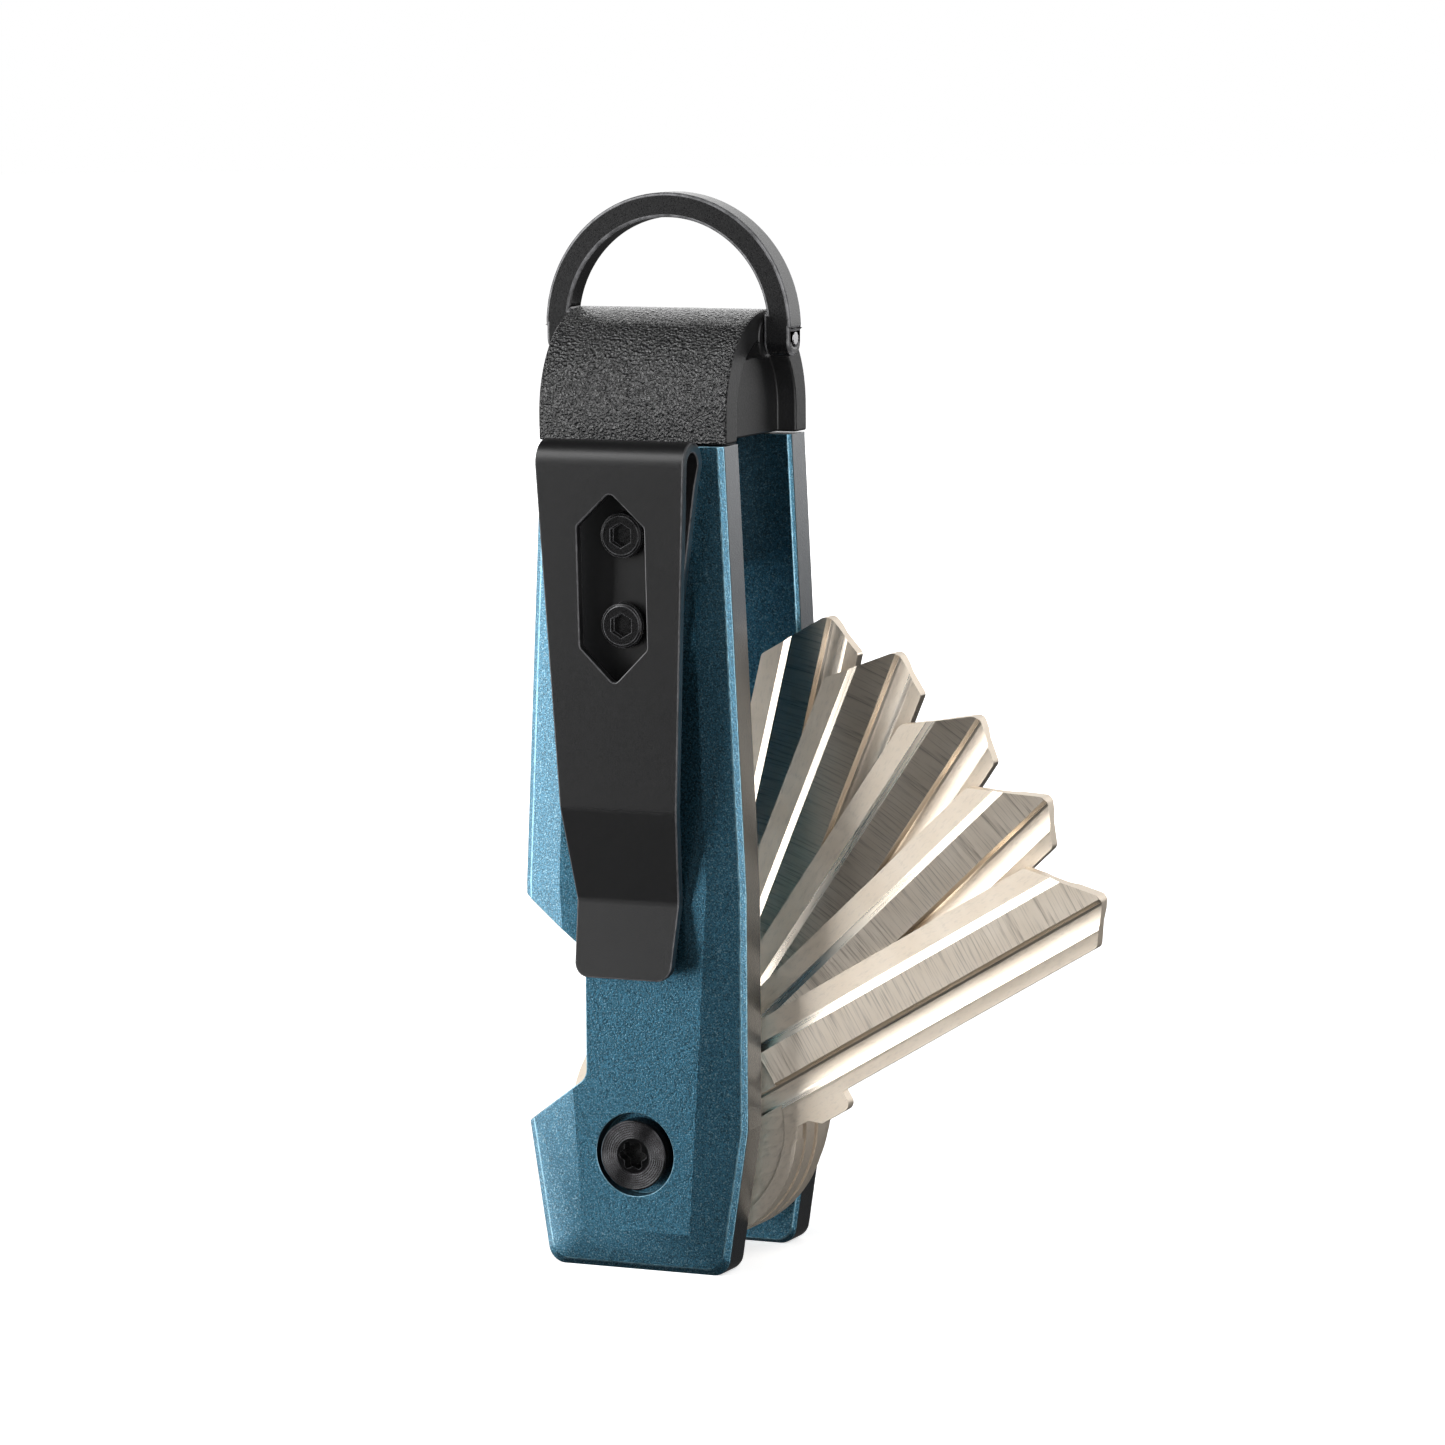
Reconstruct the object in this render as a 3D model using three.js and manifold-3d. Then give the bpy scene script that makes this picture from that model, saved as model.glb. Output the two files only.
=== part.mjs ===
// Key organiser: two faceted aluminium plates on a pivot screw, with five keys fanned out between them,
// a moulded end cap with a swinging ring, and a bent steel pocket clip.
//
// Millimetres. Every piece is first drawn in the body frame: X across the organiser, Y from front to
// back with 0 halfway between the plates, Z up its length with 0 at the plates' lower end. The last
// section moves the whole organiser so that the origin is the middle of the rear plate's flat face.

import * as THREE from 'three';
import { mergeVertices } from 'three/addons/utils/BufferGeometryUtils.js';
import Module from 'manifold-3d';

const wasm = await Module();
wasm.setup();

// ---------------------------------------------------------------- driving dimensions

// Plates
const PLATE_HEIGHT = 80;
const TOP_HALF_WIDTH = 9.6;
const WIDEST_HALF_WIDTH = 11.6;
const WIDEST_FROM = 14.4;
const WIDEST_TO = 37.3;
const BOTTOM_HALF_WIDTH = 9.4;
const BOTTOM_CORNER_RADIUS = 1.8;
const INNER_FACE_Y = 6.15;
const SIDE_Y = 9.75;
const FLAT_Y = 10.5;
const EDGE_CHAMFER_WIDTH = 0.6;
const EDGE_CHAMFER_DEPTH = 0.3;
const INNER_CHAMFER = 0.35;
const FLAT_TOP_HALF_WIDTH = 6.1;
const FLAT_HALF_WIDTH = 7.75;
const FLAT_BOTTOM_HALF_WIDTH = 5.7;
const FLAT_BOTTOM_Z = 3.9;

// Thumb notch in the left edge of both plates
const NOTCH_FLOOR_X = -5.1;
const NOTCH_FLOOR_TOP = 31;
const NOTCH_FLOOR_BOTTOM = 18.6;
const NOTCH_MOUTH_X = -14;
const NOTCH_MOUTH_TOP = 38;
const NOTCH_MOUTH_BOTTOM = 12;
const NOTCH_RADIUS = 1.6;

// Pivot
const PIVOT_Z = 11.4;
const PIVOT_HEAD_RADIUS = 3.42;
const PIVOT_HEAD_PROUD = 0.5;
const COUNTERBORE_RADIUS = 4.05;
const COUNTERBORE_FLOOR_Y = 8.95;
const BARREL_RADIUS = 2.2;
const PIVOT_THREAD_RADIUS = 1.25;
const PIVOT_THREAD_END_Y = 3;
const PIVOT_BORE_END_Y = 3.6;
const DRIVE_RADIUS = 1.25;
const DRIVE_LOBE = 0.2;
const DRIVE_LOBES = 6;
const FRONT_DRIVE_DEPTH = 1.3;
const REAR_DRIVE_DEPTH = 1.1;

// Keys
const KEY_THICKNESS = 2;
const KEY_PITCH = 2.36;
const KEY_ANGLES = [30.8, 43.6, 56, 67.6, 76.6];
const KEY_SIDE_PLAY = [0.65, -0.35, -1.3, -1.3, -1.05];
const BOW_RADIUS = 11.9;
const BOW_CENTRE_U = 3.9;
const BOW_RIM = 1.35;
const BOW_RECESS = 0.3;
const KEY_HOLE_RADIUS = 3.6;
const BLADE_HALF_WIDTH = 4.95;
const BLADE_TIP_U = 53.3;
const BLADE_TIP_V = -1;
const BLADE_UPPER_CORNER_U = 47.7;
const BLADE_LOWER_CORNER_U = 50.5;
const BLADE_CORNER_RADIUS = 0.6;
const BLADE_TIP_RADIUS = 0.8;
const SHOULDER_U = 20.3;
const SHOULDER_START_U = 15.6;
const SHOULDER_REACH = 6.7;
const NECK_REACH = 5.5;
const GROOVE_START_U = 9;
const LAND_DEPTH = 0.45;
const GROOVE_DEPTH = 0.55;

// Washers between the keys
const WASHER_RADIUS = 5;
const WASHER_THICKNESS = 0.3;

// End cap
const CAP_HALF_WIDTH = 9.8;
const CAP_BOTTOM_Z = 80.15;
const CAP_ARCH_Z = 82.7;
const CAP_WALL = 2.65;
const CAP_RECESS_DEPTH = 2;
const TONGUE_HALF_WIDTH = 4;
const TONGUE_BOTTOM_Z = 67;
const BOSS_RADIUS = 2;
const BOSS_REACH = 9.95;

// Ring and its pins
const RING_OUTER_RADIUS = 12.9;
const RING_INNER_RADIUS = 10.5;
const RING_CENTRE_Z = 90.65;
const RING_DEPTH = 2.9;
const LEG_INNER_X = 10.1;
const LEG_OUTER_X = 12.8;
const LEG_TOP_Z = 92;
const LEG_END_Z = 89.45;
const PIN_Z = 89.7;
const PIN_RADIUS = 0.65;
const PIN_START_X = 5.5;
const PIN_END_X = 12.87;

// Pocket clip
const CLIP_THICKNESS = 1;
const CLIP_BEND_RADIUS = 2.3;
const CLIP_BEND_Z = 78.3;
const CLIP_BACK_END_Z = 56;
const CLIP_FIRST_BEND = { y: -13.75, z: 45.3 };
const CLIP_SECOND_BEND = { y: -11.6, z: 36.2 };
const CLIP_TIP = { y: -13.2, z: 28.9 };
const CLIP_TOP_HALF_WIDTH = 7.7;
const CLIP_FIRST_BEND_HALF_WIDTH = 6.1;
const CLIP_SECOND_BEND_HALF_WIDTH = 5.35;
const CLIP_TIP_HALF_WIDTH = 5;
const CLIP_BACK_HALF_WIDTH = 7.3;
const CLIP_BACK_END_HALF_WIDTH = 4.6;
const CLIP_TIP_RADIUS = 1.5;
const CLIP_BACK_END_RADIUS = 2;
const CLIP_SPLIT_Y = -12.8;
const WINDOW_HALF_WIDTH = 3.5;
const WINDOW_POINT_RADIUS = 0.6;
const WINDOW_CORNER_RADIUS = 0.5;
const WINDOW_STRAIGHT = [60.9, 72.5];
const WINDOW_POINTS = [57.4, 75.8];

// Small screws
const SCREW_HEIGHTS = { upper: 71.5, lower: 62.9 };
const SCREW_HEAD_RADIUS = 2.2;
const SCREW_HEAD_HEIGHT = 1;
const SCREW_SHANK_RADIUS = 1.2;
const SCREW_SOCKET_RADIUS = 1.22;
const SCREW_SOCKET_DEPTH = 0.7;
const UPPER_SCREW_END_Y = 1.5;
const LOWER_SCREW_END_Y = 6.5;

// Clearances
const HOLE_CLEARANCE = 0.06;
const BARREL_CLEARANCE = 0.1;
const FACE_GAP = 0.05;

// The rear screw's head sits just below the rear plate's face
const REAR_SEAT_Y = FLAT_Y - SCREW_HEAD_HEIGHT - 2 * FACE_GAP;

// Facets on round shapes
const SMALL_SIDES = 20;
const MEDIUM_SIDES = 28;
const LARGE_SIDES = 44;

const OVERSHOOT = 2;

// ---------------------------------------------------------------- materials

function finish(color, roughness, metalness) {
  return new THREE.MeshStandardMaterial({ color, roughness, metalness });
}

const materials = {
  blueAluminium: finish(0x3a6880, 0.45, 0.8),
  blackPlastic: finish(0x1b1b1d, 0.6, 0),
  blackSteel: finish(0x242427, 0.4, 0.6),
  blackScrew: finish(0x151517, 0.35, 0.7),
  pinSteel: finish(0xb9bbbd, 0.3, 1),
  nickelSilver: finish(0xcfc5b5, 0.3, 1),
  washerSteel: finish(0x9a9da0, 0.4, 1),
};

// ---------------------------------------------------------------- solids from three.js geometry

function toSolid(geometry) {
  const bare = geometry.index ? geometry.toNonIndexed() : geometry.clone();
  bare.deleteAttribute('normal');
  bare.deleteAttribute('uv');
  const merged = mergeVertices(bare, 1e-5);
  const corners = [];
  const index = merged.index.array;
  for (let i = 0; i < index.length; i += 3) {
    const [a, b, c] = [index[i], index[i + 1], index[i + 2]];
    if (a !== b && b !== c && c !== a) corners.push(a, b, c);
  }
  return new wasm.Manifold(new wasm.Mesh({
    numProp: 3,
    vertProperties: new Float32Array(merged.attributes.position.array),
    triVerts: new Uint32Array(corners),
  }));
}

function toMesh(name, solid, material) {
  const { vertProperties, triVerts } = solid.getMesh();
  const geometry = new THREE.BufferGeometry();
  geometry.setAttribute('position', new THREE.BufferAttribute(vertProperties, 3));
  geometry.setIndex(new THREE.BufferAttribute(triVerts, 1));
  geometry.computeVertexNormals();
  const mesh = new THREE.Mesh(geometry, material);
  mesh.name = name;
  return mesh;
}

function join(...solids) {
  return solids.reduce((whole, next) => whole.add(next));
}

function cut(solid, ...tools) {
  return tools.reduce((rest, tool) => rest.subtract(tool), solid);
}

// ---------------------------------------------------------------- outlines

// A closed outline through [x, y, radius] corners, with each corner that has a radius rounded off.
function outline(corners, arcSteps = 5) {
  const points = [];
  corners.forEach(([x, y, radius = 0], i) => {
    const corner = new THREE.Vector2(x, y);
    if (radius === 0) {
      points.push(corner);
      return;
    }
    const before = corners[(i + corners.length - 1) % corners.length];
    const after = corners[(i + 1) % corners.length];
    const toBefore = new THREE.Vector2(before[0] - x, before[1] - y).normalize();
    const toAfter = new THREE.Vector2(after[0] - x, after[1] - y).normalize();
    const halfAngle = Math.acos(THREE.MathUtils.clamp(toBefore.dot(toAfter), -1, 1)) / 2;
    const bisector = toBefore.clone().add(toAfter).normalize();
    const centre = corner.clone().addScaledVector(bisector, radius / Math.sin(halfAngle));
    const reach = radius / Math.tan(halfAngle);
    const start = corner.clone().addScaledVector(toBefore, reach).sub(centre);
    const end = corner.clone().addScaledVector(toAfter, reach).sub(centre);
    const turn = Math.atan2(start.cross(end), start.dot(end));
    for (let step = 0; step <= arcSteps; step += 1) {
      const spoke = start.clone().rotateAround(new THREE.Vector2(), (turn * step) / arcSteps);
      points.push(spoke.add(centre));
    }
  });
  return points;
}

// Points of a circular arc, from one angle to another in degrees.
function arc(centreX, centreY, radius, fromDegrees, toDegrees, steps) {
  const points = [];
  for (let step = 0; step <= steps; step += 1) {
    const angle = THREE.MathUtils.degToRad(fromDegrees + ((toDegrees - fromDegrees) * step) / steps);
    points.push(new THREE.Vector2(centreX + radius * Math.cos(angle), centreY + radius * Math.sin(angle)));
  }
  return points;
}

// ---------------------------------------------------------------- prisms and cylinders

// An outline drawn in X and Z, extruded from y0 to y1.
function prismAlongY(points, y0, y1) {
  const geometry = new THREE.ExtrudeGeometry(new THREE.Shape(points), { depth: y1 - y0, bevelEnabled: false });
  geometry.rotateX(Math.PI / 2);
  geometry.translate(0, y1, 0);
  return toSolid(geometry);
}

// An outline drawn in Y and Z, extruded from x0 to x1.
function prismAlongX(points, x0, x1) {
  const geometry = new THREE.ExtrudeGeometry(new THREE.Shape(points), { depth: x1 - x0, bevelEnabled: false });
  const yzToX = new THREE.Matrix4().makeBasis(
    new THREE.Vector3(0, 1, 0),
    new THREE.Vector3(0, 0, 1),
    new THREE.Vector3(1, 0, 0),
  );
  geometry.applyMatrix4(yzToX);
  geometry.translate(x0, 0, 0);
  return toSolid(geometry);
}

function cylinderAlongY(radius, y0, y1, x, z, sides) {
  const geometry = new THREE.CylinderGeometry(radius, radius, y1 - y0, sides);
  geometry.translate(x, (y0 + y1) / 2, z);
  return toSolid(geometry);
}

function cylinderAlongX(radius, x0, x1, y, z, sides) {
  const geometry = new THREE.CylinderGeometry(radius, radius, x1 - x0, sides);
  geometry.rotateZ(Math.PI / 2);
  geometry.translate((x0 + x1) / 2, y, z);
  return toSolid(geometry);
}

function block(x0, x1, y0, y1, z0, z1) {
  const geometry = new THREE.BoxGeometry(x1 - x0, y1 - y0, z1 - z0);
  geometry.translate((x0 + x1) / 2, (y0 + y1) / 2, (z0 + z1) / 2);
  return toSolid(geometry);
}

// A body through outlines of equal point count, each at its own y, listed from front to back.
function loft(layers) {
  const positions = [];
  const push = (layer, i) => positions.push(layer.points[i].x, layer.y, layer.points[i].y);
  const count = layers[0].points.length;
  for (let level = 0; level + 1 < layers.length; level += 1) {
    const [near, far] = [layers[level], layers[level + 1]];
    for (let i = 0; i < count; i += 1) {
      const next = (i + 1) % count;
      push(near, i);
      push(far, next);
      push(near, next);
      push(near, i);
      push(far, i);
      push(far, next);
    }
  }
  const [front, back] = [layers[0], layers[layers.length - 1]];
  const closeEnd = (layer, backwards) => {
    const distinct = layer.points.filter((p, i) => !p.equals(layer.points[(i + 1) % count]));
    THREE.ShapeUtils.triangulateShape(distinct, []).forEach((triangle) => {
      const order = backwards ? [triangle[0], triangle[2], triangle[1]] : triangle;
      order.forEach((i) => positions.push(distinct[i].x, layer.y, distinct[i].y));
    });
  };
  closeEnd(front, false);
  closeEnd(back, true);
  const geometry = new THREE.BufferGeometry();
  geometry.setAttribute('position', new THREE.Float32BufferAttribute(positions, 3));
  return toSolid(geometry);
}

// ---------------------------------------------------------------- plates

// The plate's outline, drawn in by a margin on its sides and its lower end.
function plateOutline(margin) {
  const half = [
    [BOTTOM_HALF_WIDTH - margin, margin, BOTTOM_CORNER_RADIUS],
    [WIDEST_HALF_WIDTH - margin, WIDEST_FROM],
    [WIDEST_HALF_WIDTH - margin, WIDEST_TO],
    [TOP_HALF_WIDTH - margin, PLATE_HEIGHT],
  ];
  const mirrored = half.map(([x, z, radius]) => [-x, z, radius]).reverse();
  return outline([...half, ...mirrored]);
}

// The flat's outline, with one point for each point of the plate's outline.
function flatOutline() {
  return plateOutline(0).map(({ x, y: z }) => {
    const side = Math.sign(x);
    if (z < WIDEST_FROM) return new THREE.Vector2(side * FLAT_BOTTOM_HALF_WIDTH, FLAT_BOTTOM_Z);
    const halfWidth = z < PLATE_HEIGHT ? FLAT_HALF_WIDTH : FLAT_TOP_HALF_WIDTH;
    return new THREE.Vector2(side * halfWidth, z);
  });
}

function notchTool() {
  const profile = outline([
    [NOTCH_MOUTH_X, NOTCH_MOUTH_BOTTOM],
    [NOTCH_FLOOR_X, NOTCH_FLOOR_BOTTOM, NOTCH_RADIUS],
    [NOTCH_FLOOR_X, NOTCH_FLOOR_TOP, NOTCH_RADIUS],
    [NOTCH_MOUTH_X, NOTCH_MOUTH_TOP],
  ]);
  return prismAlongY(profile, -FLAT_Y - OVERSHOOT, FLAT_Y + OVERSHOOT);
}

// side is -1 for the front plate and 1 for the rear plate
function plateBlank(side) {
  const layers = [
    { y: side * FLAT_Y, points: flatOutline() },
    { y: side * (SIDE_Y + EDGE_CHAMFER_DEPTH), points: plateOutline(EDGE_CHAMFER_WIDTH) },
    { y: side * SIDE_Y, points: plateOutline(0) },
    { y: side * (INNER_FACE_Y + INNER_CHAMFER), points: plateOutline(0) },
    { y: side * INNER_FACE_Y, points: plateOutline(INNER_CHAMFER) },
  ];
  return loft(side < 0 ? layers : layers.reverse());
}

// A hole right through one plate, and a wider round seat sunk from its outer face to floorY.
function plateHole(side, radius, z) {
  const [y0, y1] = [side * (INNER_FACE_Y - OVERSHOOT), side * (FLAT_Y + OVERSHOOT)];
  return cylinderAlongY(radius, Math.min(y0, y1), Math.max(y0, y1), 0, z, SMALL_SIDES);
}

function plateSeat(side, radius, floorY, z, sides) {
  const [y0, y1] = [side * floorY, side * (FLAT_Y + OVERSHOOT)];
  return cylinderAlongY(radius, Math.min(y0, y1), Math.max(y0, y1), 0, z, sides);
}

function plate(side, screwHoles) {
  return cut(
    plateBlank(side),
    notchTool(),
    plateHole(side, BARREL_RADIUS + BARREL_CLEARANCE, PIVOT_Z),
    plateSeat(side, COUNTERBORE_RADIUS, COUNTERBORE_FLOOR_Y, PIVOT_Z, MEDIUM_SIDES),
    ...screwHoles,
  );
}

function frontPlate() {
  const holes = Object.values(SCREW_HEIGHTS).map((z) => plateHole(-1, SCREW_SHANK_RADIUS + HOLE_CLEARANCE, z));
  return plate(-1, holes);
}

function rearPlate() {
  const z = SCREW_HEIGHTS.upper;
  return plate(1, [
    plateHole(1, SCREW_SHANK_RADIUS + HOLE_CLEARANCE, z),
    plateSeat(1, SCREW_HEAD_RADIUS + BARREL_CLEARANCE, REAR_SEAT_Y, z, SMALL_SIDES),
  ]);
}

// ---------------------------------------------------------------- pivot screw and nut

// The six-lobed socket of the pivot's two heads.
function lobedSocket(y0, y1) {
  const points = [];
  const steps = DRIVE_LOBES * 6;
  for (let step = 0; step < steps; step += 1) {
    const angle = (step / steps) * Math.PI * 2;
    const radius = DRIVE_RADIUS + DRIVE_LOBE * Math.cos(DRIVE_LOBES * angle);
    points.push(new THREE.Vector2(radius * Math.cos(angle), PIVOT_Z + radius * Math.sin(angle)));
  }
  return prismAlongY(points, y0, y1);
}

function pivotScrew() {
  const faceY = -FLAT_Y - PIVOT_HEAD_PROUD;
  const seatY = -COUNTERBORE_FLOOR_Y - FACE_GAP;
  const head = cylinderAlongY(PIVOT_HEAD_RADIUS, faceY, seatY, 0, PIVOT_Z, MEDIUM_SIDES);
  const shank = cylinderAlongY(PIVOT_THREAD_RADIUS, seatY - FACE_GAP, PIVOT_THREAD_END_Y, 0, PIVOT_Z, SMALL_SIDES);
  return cut(join(head, shank), lobedSocket(faceY - OVERSHOOT, faceY + FRONT_DRIVE_DEPTH));
}

function pivotNut() {
  const faceY = FLAT_Y - 2 * FACE_GAP;
  const seatY = COUNTERBORE_FLOOR_Y + FACE_GAP;
  const barrelEnd = -COUNTERBORE_FLOOR_Y + 4 * FACE_GAP;
  const boreRadius = PIVOT_THREAD_RADIUS + HOLE_CLEARANCE;
  const head = cylinderAlongY(PIVOT_HEAD_RADIUS, seatY, faceY, 0, PIVOT_Z, MEDIUM_SIDES);
  const barrel = cylinderAlongY(BARREL_RADIUS, barrelEnd, seatY + FACE_GAP, 0, PIVOT_Z, SMALL_SIDES);
  const bore = cylinderAlongY(boreRadius, barrelEnd - OVERSHOOT, PIVOT_BORE_END_Y, 0, PIVOT_Z, SMALL_SIDES);
  return cut(join(head, barrel), bore, lobedSocket(faceY - REAR_DRIVE_DEPTH, faceY + OVERSHOOT));
}

function washer(number) {
  const centreY = (number - (KEY_ANGLES.length + 2) / 2) * KEY_PITCH;
  const [y0, y1] = [centreY - WASHER_THICKNESS / 2, centreY + WASHER_THICKNESS / 2];
  const disc = cylinderAlongY(WASHER_RADIUS, y0, y1, 0, PIVOT_Z, MEDIUM_SIDES);
  const holeRadius = BARREL_RADIUS + BARREL_CLEARANCE;
  const hole = cylinderAlongY(holeRadius, y0 - OVERSHOOT, y1 + OVERSHOOT, 0, PIVOT_Z, SMALL_SIDES);
  return cut(disc, hole);
}

// ---------------------------------------------------------------- keys
// A key is drawn lying along X (u, from the hole towards the tip) with its width along Z (v) and its
// middle plane at y = 0. Its front side faces -Y.

// The front side's grooves, as outlines in v and in depth below that side.
const UPPER_LAND = [[2.1, 0], [2.95, LAND_DEPTH], [7, LAND_DEPTH], [7, -1], [2.1, -1]];
const LOWER_GROOVE = [
  [-1.1, 0], [-1.1, -1], [-7, -1], [-7, 0.2], [-3.85, 0.16], [-3.6, 0.1], [-3, 0.42],
  [-2.5, 0.52], [-2.1, GROOVE_DEPTH], [-1.7, 0.52], [-1.45, 0.42],
];

// A groove cutter on the front side, or on the back side with the key turned half a turn about u.
function grooveTool(profile, onBack) {
  const turn = onBack ? -1 : 1;
  const points = profile.map(([v, depth]) => new THREE.Vector2(turn * (depth - KEY_THICKNESS / 2), turn * v));
  return prismAlongX(points, GROOVE_START_U, BLADE_TIP_U + OVERSHOOT);
}

function keyPlan() {
  const [y0, y1] = [-KEY_THICKNESS / 2, KEY_THICKNESS / 2];
  const bow = cylinderAlongY(BOW_RADIUS, y0, y1, BOW_CENTRE_U, 0, LARGE_SIDES);
  const blade = prismAlongY(outline([
    [BOW_CENTRE_U, -BLADE_HALF_WIDTH],
    [BLADE_LOWER_CORNER_U, -BLADE_HALF_WIDTH, BLADE_CORNER_RADIUS],
    [BLADE_TIP_U, BLADE_TIP_V, BLADE_TIP_RADIUS],
    [BLADE_UPPER_CORNER_U, BLADE_HALF_WIDTH, BLADE_CORNER_RADIUS],
    [BOW_CENTRE_U, BLADE_HALF_WIDTH],
  ], 3), y0, y1);
  const shoulder = prismAlongY(outline([
    [BOW_CENTRE_U, -NECK_REACH],
    [SHOULDER_START_U, -NECK_REACH - 0.3, BLADE_CORNER_RADIUS],
    [SHOULDER_START_U + 1.2, -SHOULDER_REACH],
    [SHOULDER_U, -SHOULDER_REACH, BLADE_TIP_RADIUS],
    [SHOULDER_U, 0],
    [BOW_CENTRE_U, 0],
  ], 3), y0, y1);
  return join(bow, blade, shoulder);
}

function keySolid() {
  const half = KEY_THICKNESS / 2;
  const recessRadius = BOW_RADIUS - BOW_RIM;
  const frontRecess = cylinderAlongY(recessRadius, -half - 1, -half + BOW_RECESS, BOW_CENTRE_U, 0, LARGE_SIDES);
  const backRecess = cylinderAlongY(recessRadius, half - BOW_RECESS, half + 1, BOW_CENTRE_U, 0, LARGE_SIDES);
  const hole = cylinderAlongY(KEY_HOLE_RADIUS, -half - 1, half + 1, 0, 0, SMALL_SIDES);
  const grooves = [false, true].flatMap((onBack) => [
    grooveTool(UPPER_LAND, onBack),
    grooveTool(LOWER_GROOVE, onBack),
  ]);
  return cut(keyPlan(), frontRecess, backRecess, hole, ...grooves);
}

// Key 1 is the front one. Each lies in its own plane, turned about the pivot.
function keyOnPivot(index) {
  const turned = new THREE.Group();
  turned.position.set(0, (index - (KEY_ANGLES.length - 1) / 2) * KEY_PITCH, PIVOT_Z);
  turned.rotation.y = -THREE.MathUtils.degToRad(KEY_ANGLES[index]);
  const mesh = toMesh(`key_${index + 1}`, keySolid(), materials.nickelSilver);
  mesh.position.z = KEY_SIDE_PLAY[index];
  turned.add(mesh);
  return turned;
}

// ---------------------------------------------------------------- end cap

// An arch in Y and Z with straight legs that reach down to the given height.
function archOutline(radius, bottomZ) {
  return [
    new THREE.Vector2(-radius, bottomZ),
    new THREE.Vector2(radius, bottomZ),
    ...arc(0, CAP_ARCH_Z, radius, 0, 180, LARGE_SIDES / 2),
  ];
}

function endCap() {
  const arch = prismAlongX(archOutline(SIDE_Y, CAP_BOTTOM_Z), -CAP_HALF_WIDTH, CAP_HALF_WIDTH);
  const tongueHalfDepth = INNER_FACE_Y - 2 * FACE_GAP;
  const tongue = block(
    -TONGUE_HALF_WIDTH, TONGUE_HALF_WIDTH,
    -tongueHalfDepth, tongueHalfDepth,
    TONGUE_BOTTOM_Z, CAP_ARCH_Z,
  );
  const screwHole = cylinderAlongY(
    SCREW_SHANK_RADIUS + HOLE_CLEARANCE,
    -INNER_FACE_Y - OVERSHOOT, INNER_FACE_Y + OVERSHOOT, 0, SCREW_HEIGHTS.upper, SMALL_SIDES,
  );
  const recessFloor = CAP_HALF_WIDTH - CAP_RECESS_DEPTH;
  const recess = archOutline(SIDE_Y - CAP_WALL, CAP_BOTTOM_Z - OVERSHOOT);
  const pinHoleRadius = PIN_RADIUS + HOLE_CLEARANCE;
  const pinHoleFloor = PIN_START_X - 2 * FACE_GAP;
  const sideRecesses = [
    prismAlongX(recess, recessFloor, CAP_HALF_WIDTH + OVERSHOOT),
    prismAlongX(recess, -CAP_HALF_WIDTH - OVERSHOOT, -recessFloor),
  ];
  const bosses = [
    cylinderAlongX(BOSS_RADIUS, recessFloor - 1, BOSS_REACH, 0, PIN_Z, MEDIUM_SIDES),
    cylinderAlongX(BOSS_RADIUS, -BOSS_REACH, -recessFloor + 1, 0, PIN_Z, MEDIUM_SIDES),
  ];
  const pinHoles = [
    cylinderAlongX(pinHoleRadius, pinHoleFloor, BOSS_REACH + OVERSHOOT, 0, PIN_Z, SMALL_SIDES),
    cylinderAlongX(pinHoleRadius, -BOSS_REACH - OVERSHOOT, -pinHoleFloor, 0, PIN_Z, SMALL_SIDES),
  ];
  return cut(join(cut(arch, ...sideRecesses), tongue, ...bosses), screwHole, ...pinHoles);
}

// ---------------------------------------------------------------- ring and pins

function dRing() {
  const half = RING_DEPTH / 2;
  const arch = prismAlongY([
    ...arc(0, RING_CENTRE_Z, RING_OUTER_RADIUS, 0, 180, LARGE_SIDES / 2),
    ...arc(0, RING_CENTRE_Z, RING_INNER_RADIUS, 180, 0, LARGE_SIDES / 2),
  ], -half, half);
  const leg = (side) => {
    const [x0, x1] = side > 0 ? [LEG_INNER_X, LEG_OUTER_X] : [-LEG_OUTER_X, -LEG_INNER_X];
    return join(
      block(x0, x1, -half, half, LEG_END_Z, LEG_TOP_Z),
      cylinderAlongX(half, x0, x1, 0, LEG_END_Z, SMALL_SIDES),
    );
  };
  const pinHoleRadius = PIN_RADIUS + BARREL_CLEARANCE;
  const pinHole = cylinderAlongX(pinHoleRadius, -LEG_OUTER_X - 1, LEG_OUTER_X + 1, 0, PIN_Z, SMALL_SIDES);
  return cut(join(arch, leg(-1), leg(1)), pinHole);
}

function ringPin(side) {
  const [x0, x1] = side > 0 ? [PIN_START_X, PIN_END_X] : [-PIN_END_X, -PIN_START_X];
  return cylinderAlongX(PIN_RADIUS, x0, x1, 0, PIN_Z, SMALL_SIDES);
}

// ---------------------------------------------------------------- pocket clip

// The outline of a strip of even thickness that lies to the right of a path in Y and Z.
function stripOutline(path) {
  const inner = path.map((point, i) => {
    const before = path[Math.max(i - 1, 0)];
    const after = path[Math.min(i + 1, path.length - 1)];
    const along = point.clone().sub(before).normalize();
    const onward = after.clone().sub(point).normalize();
    const direction = along.add(onward).normalize();
    const cornerCosine = i > 0 && i < path.length - 1
      ? direction.dot(point.clone().sub(before).normalize()) : 1;
    const normal = new THREE.Vector2(direction.y, -direction.x);
    return point.clone().addScaledVector(normal, CLIP_THICKNESS / cornerCosine);
  });
  return [...path, ...inner.reverse()];
}

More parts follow.
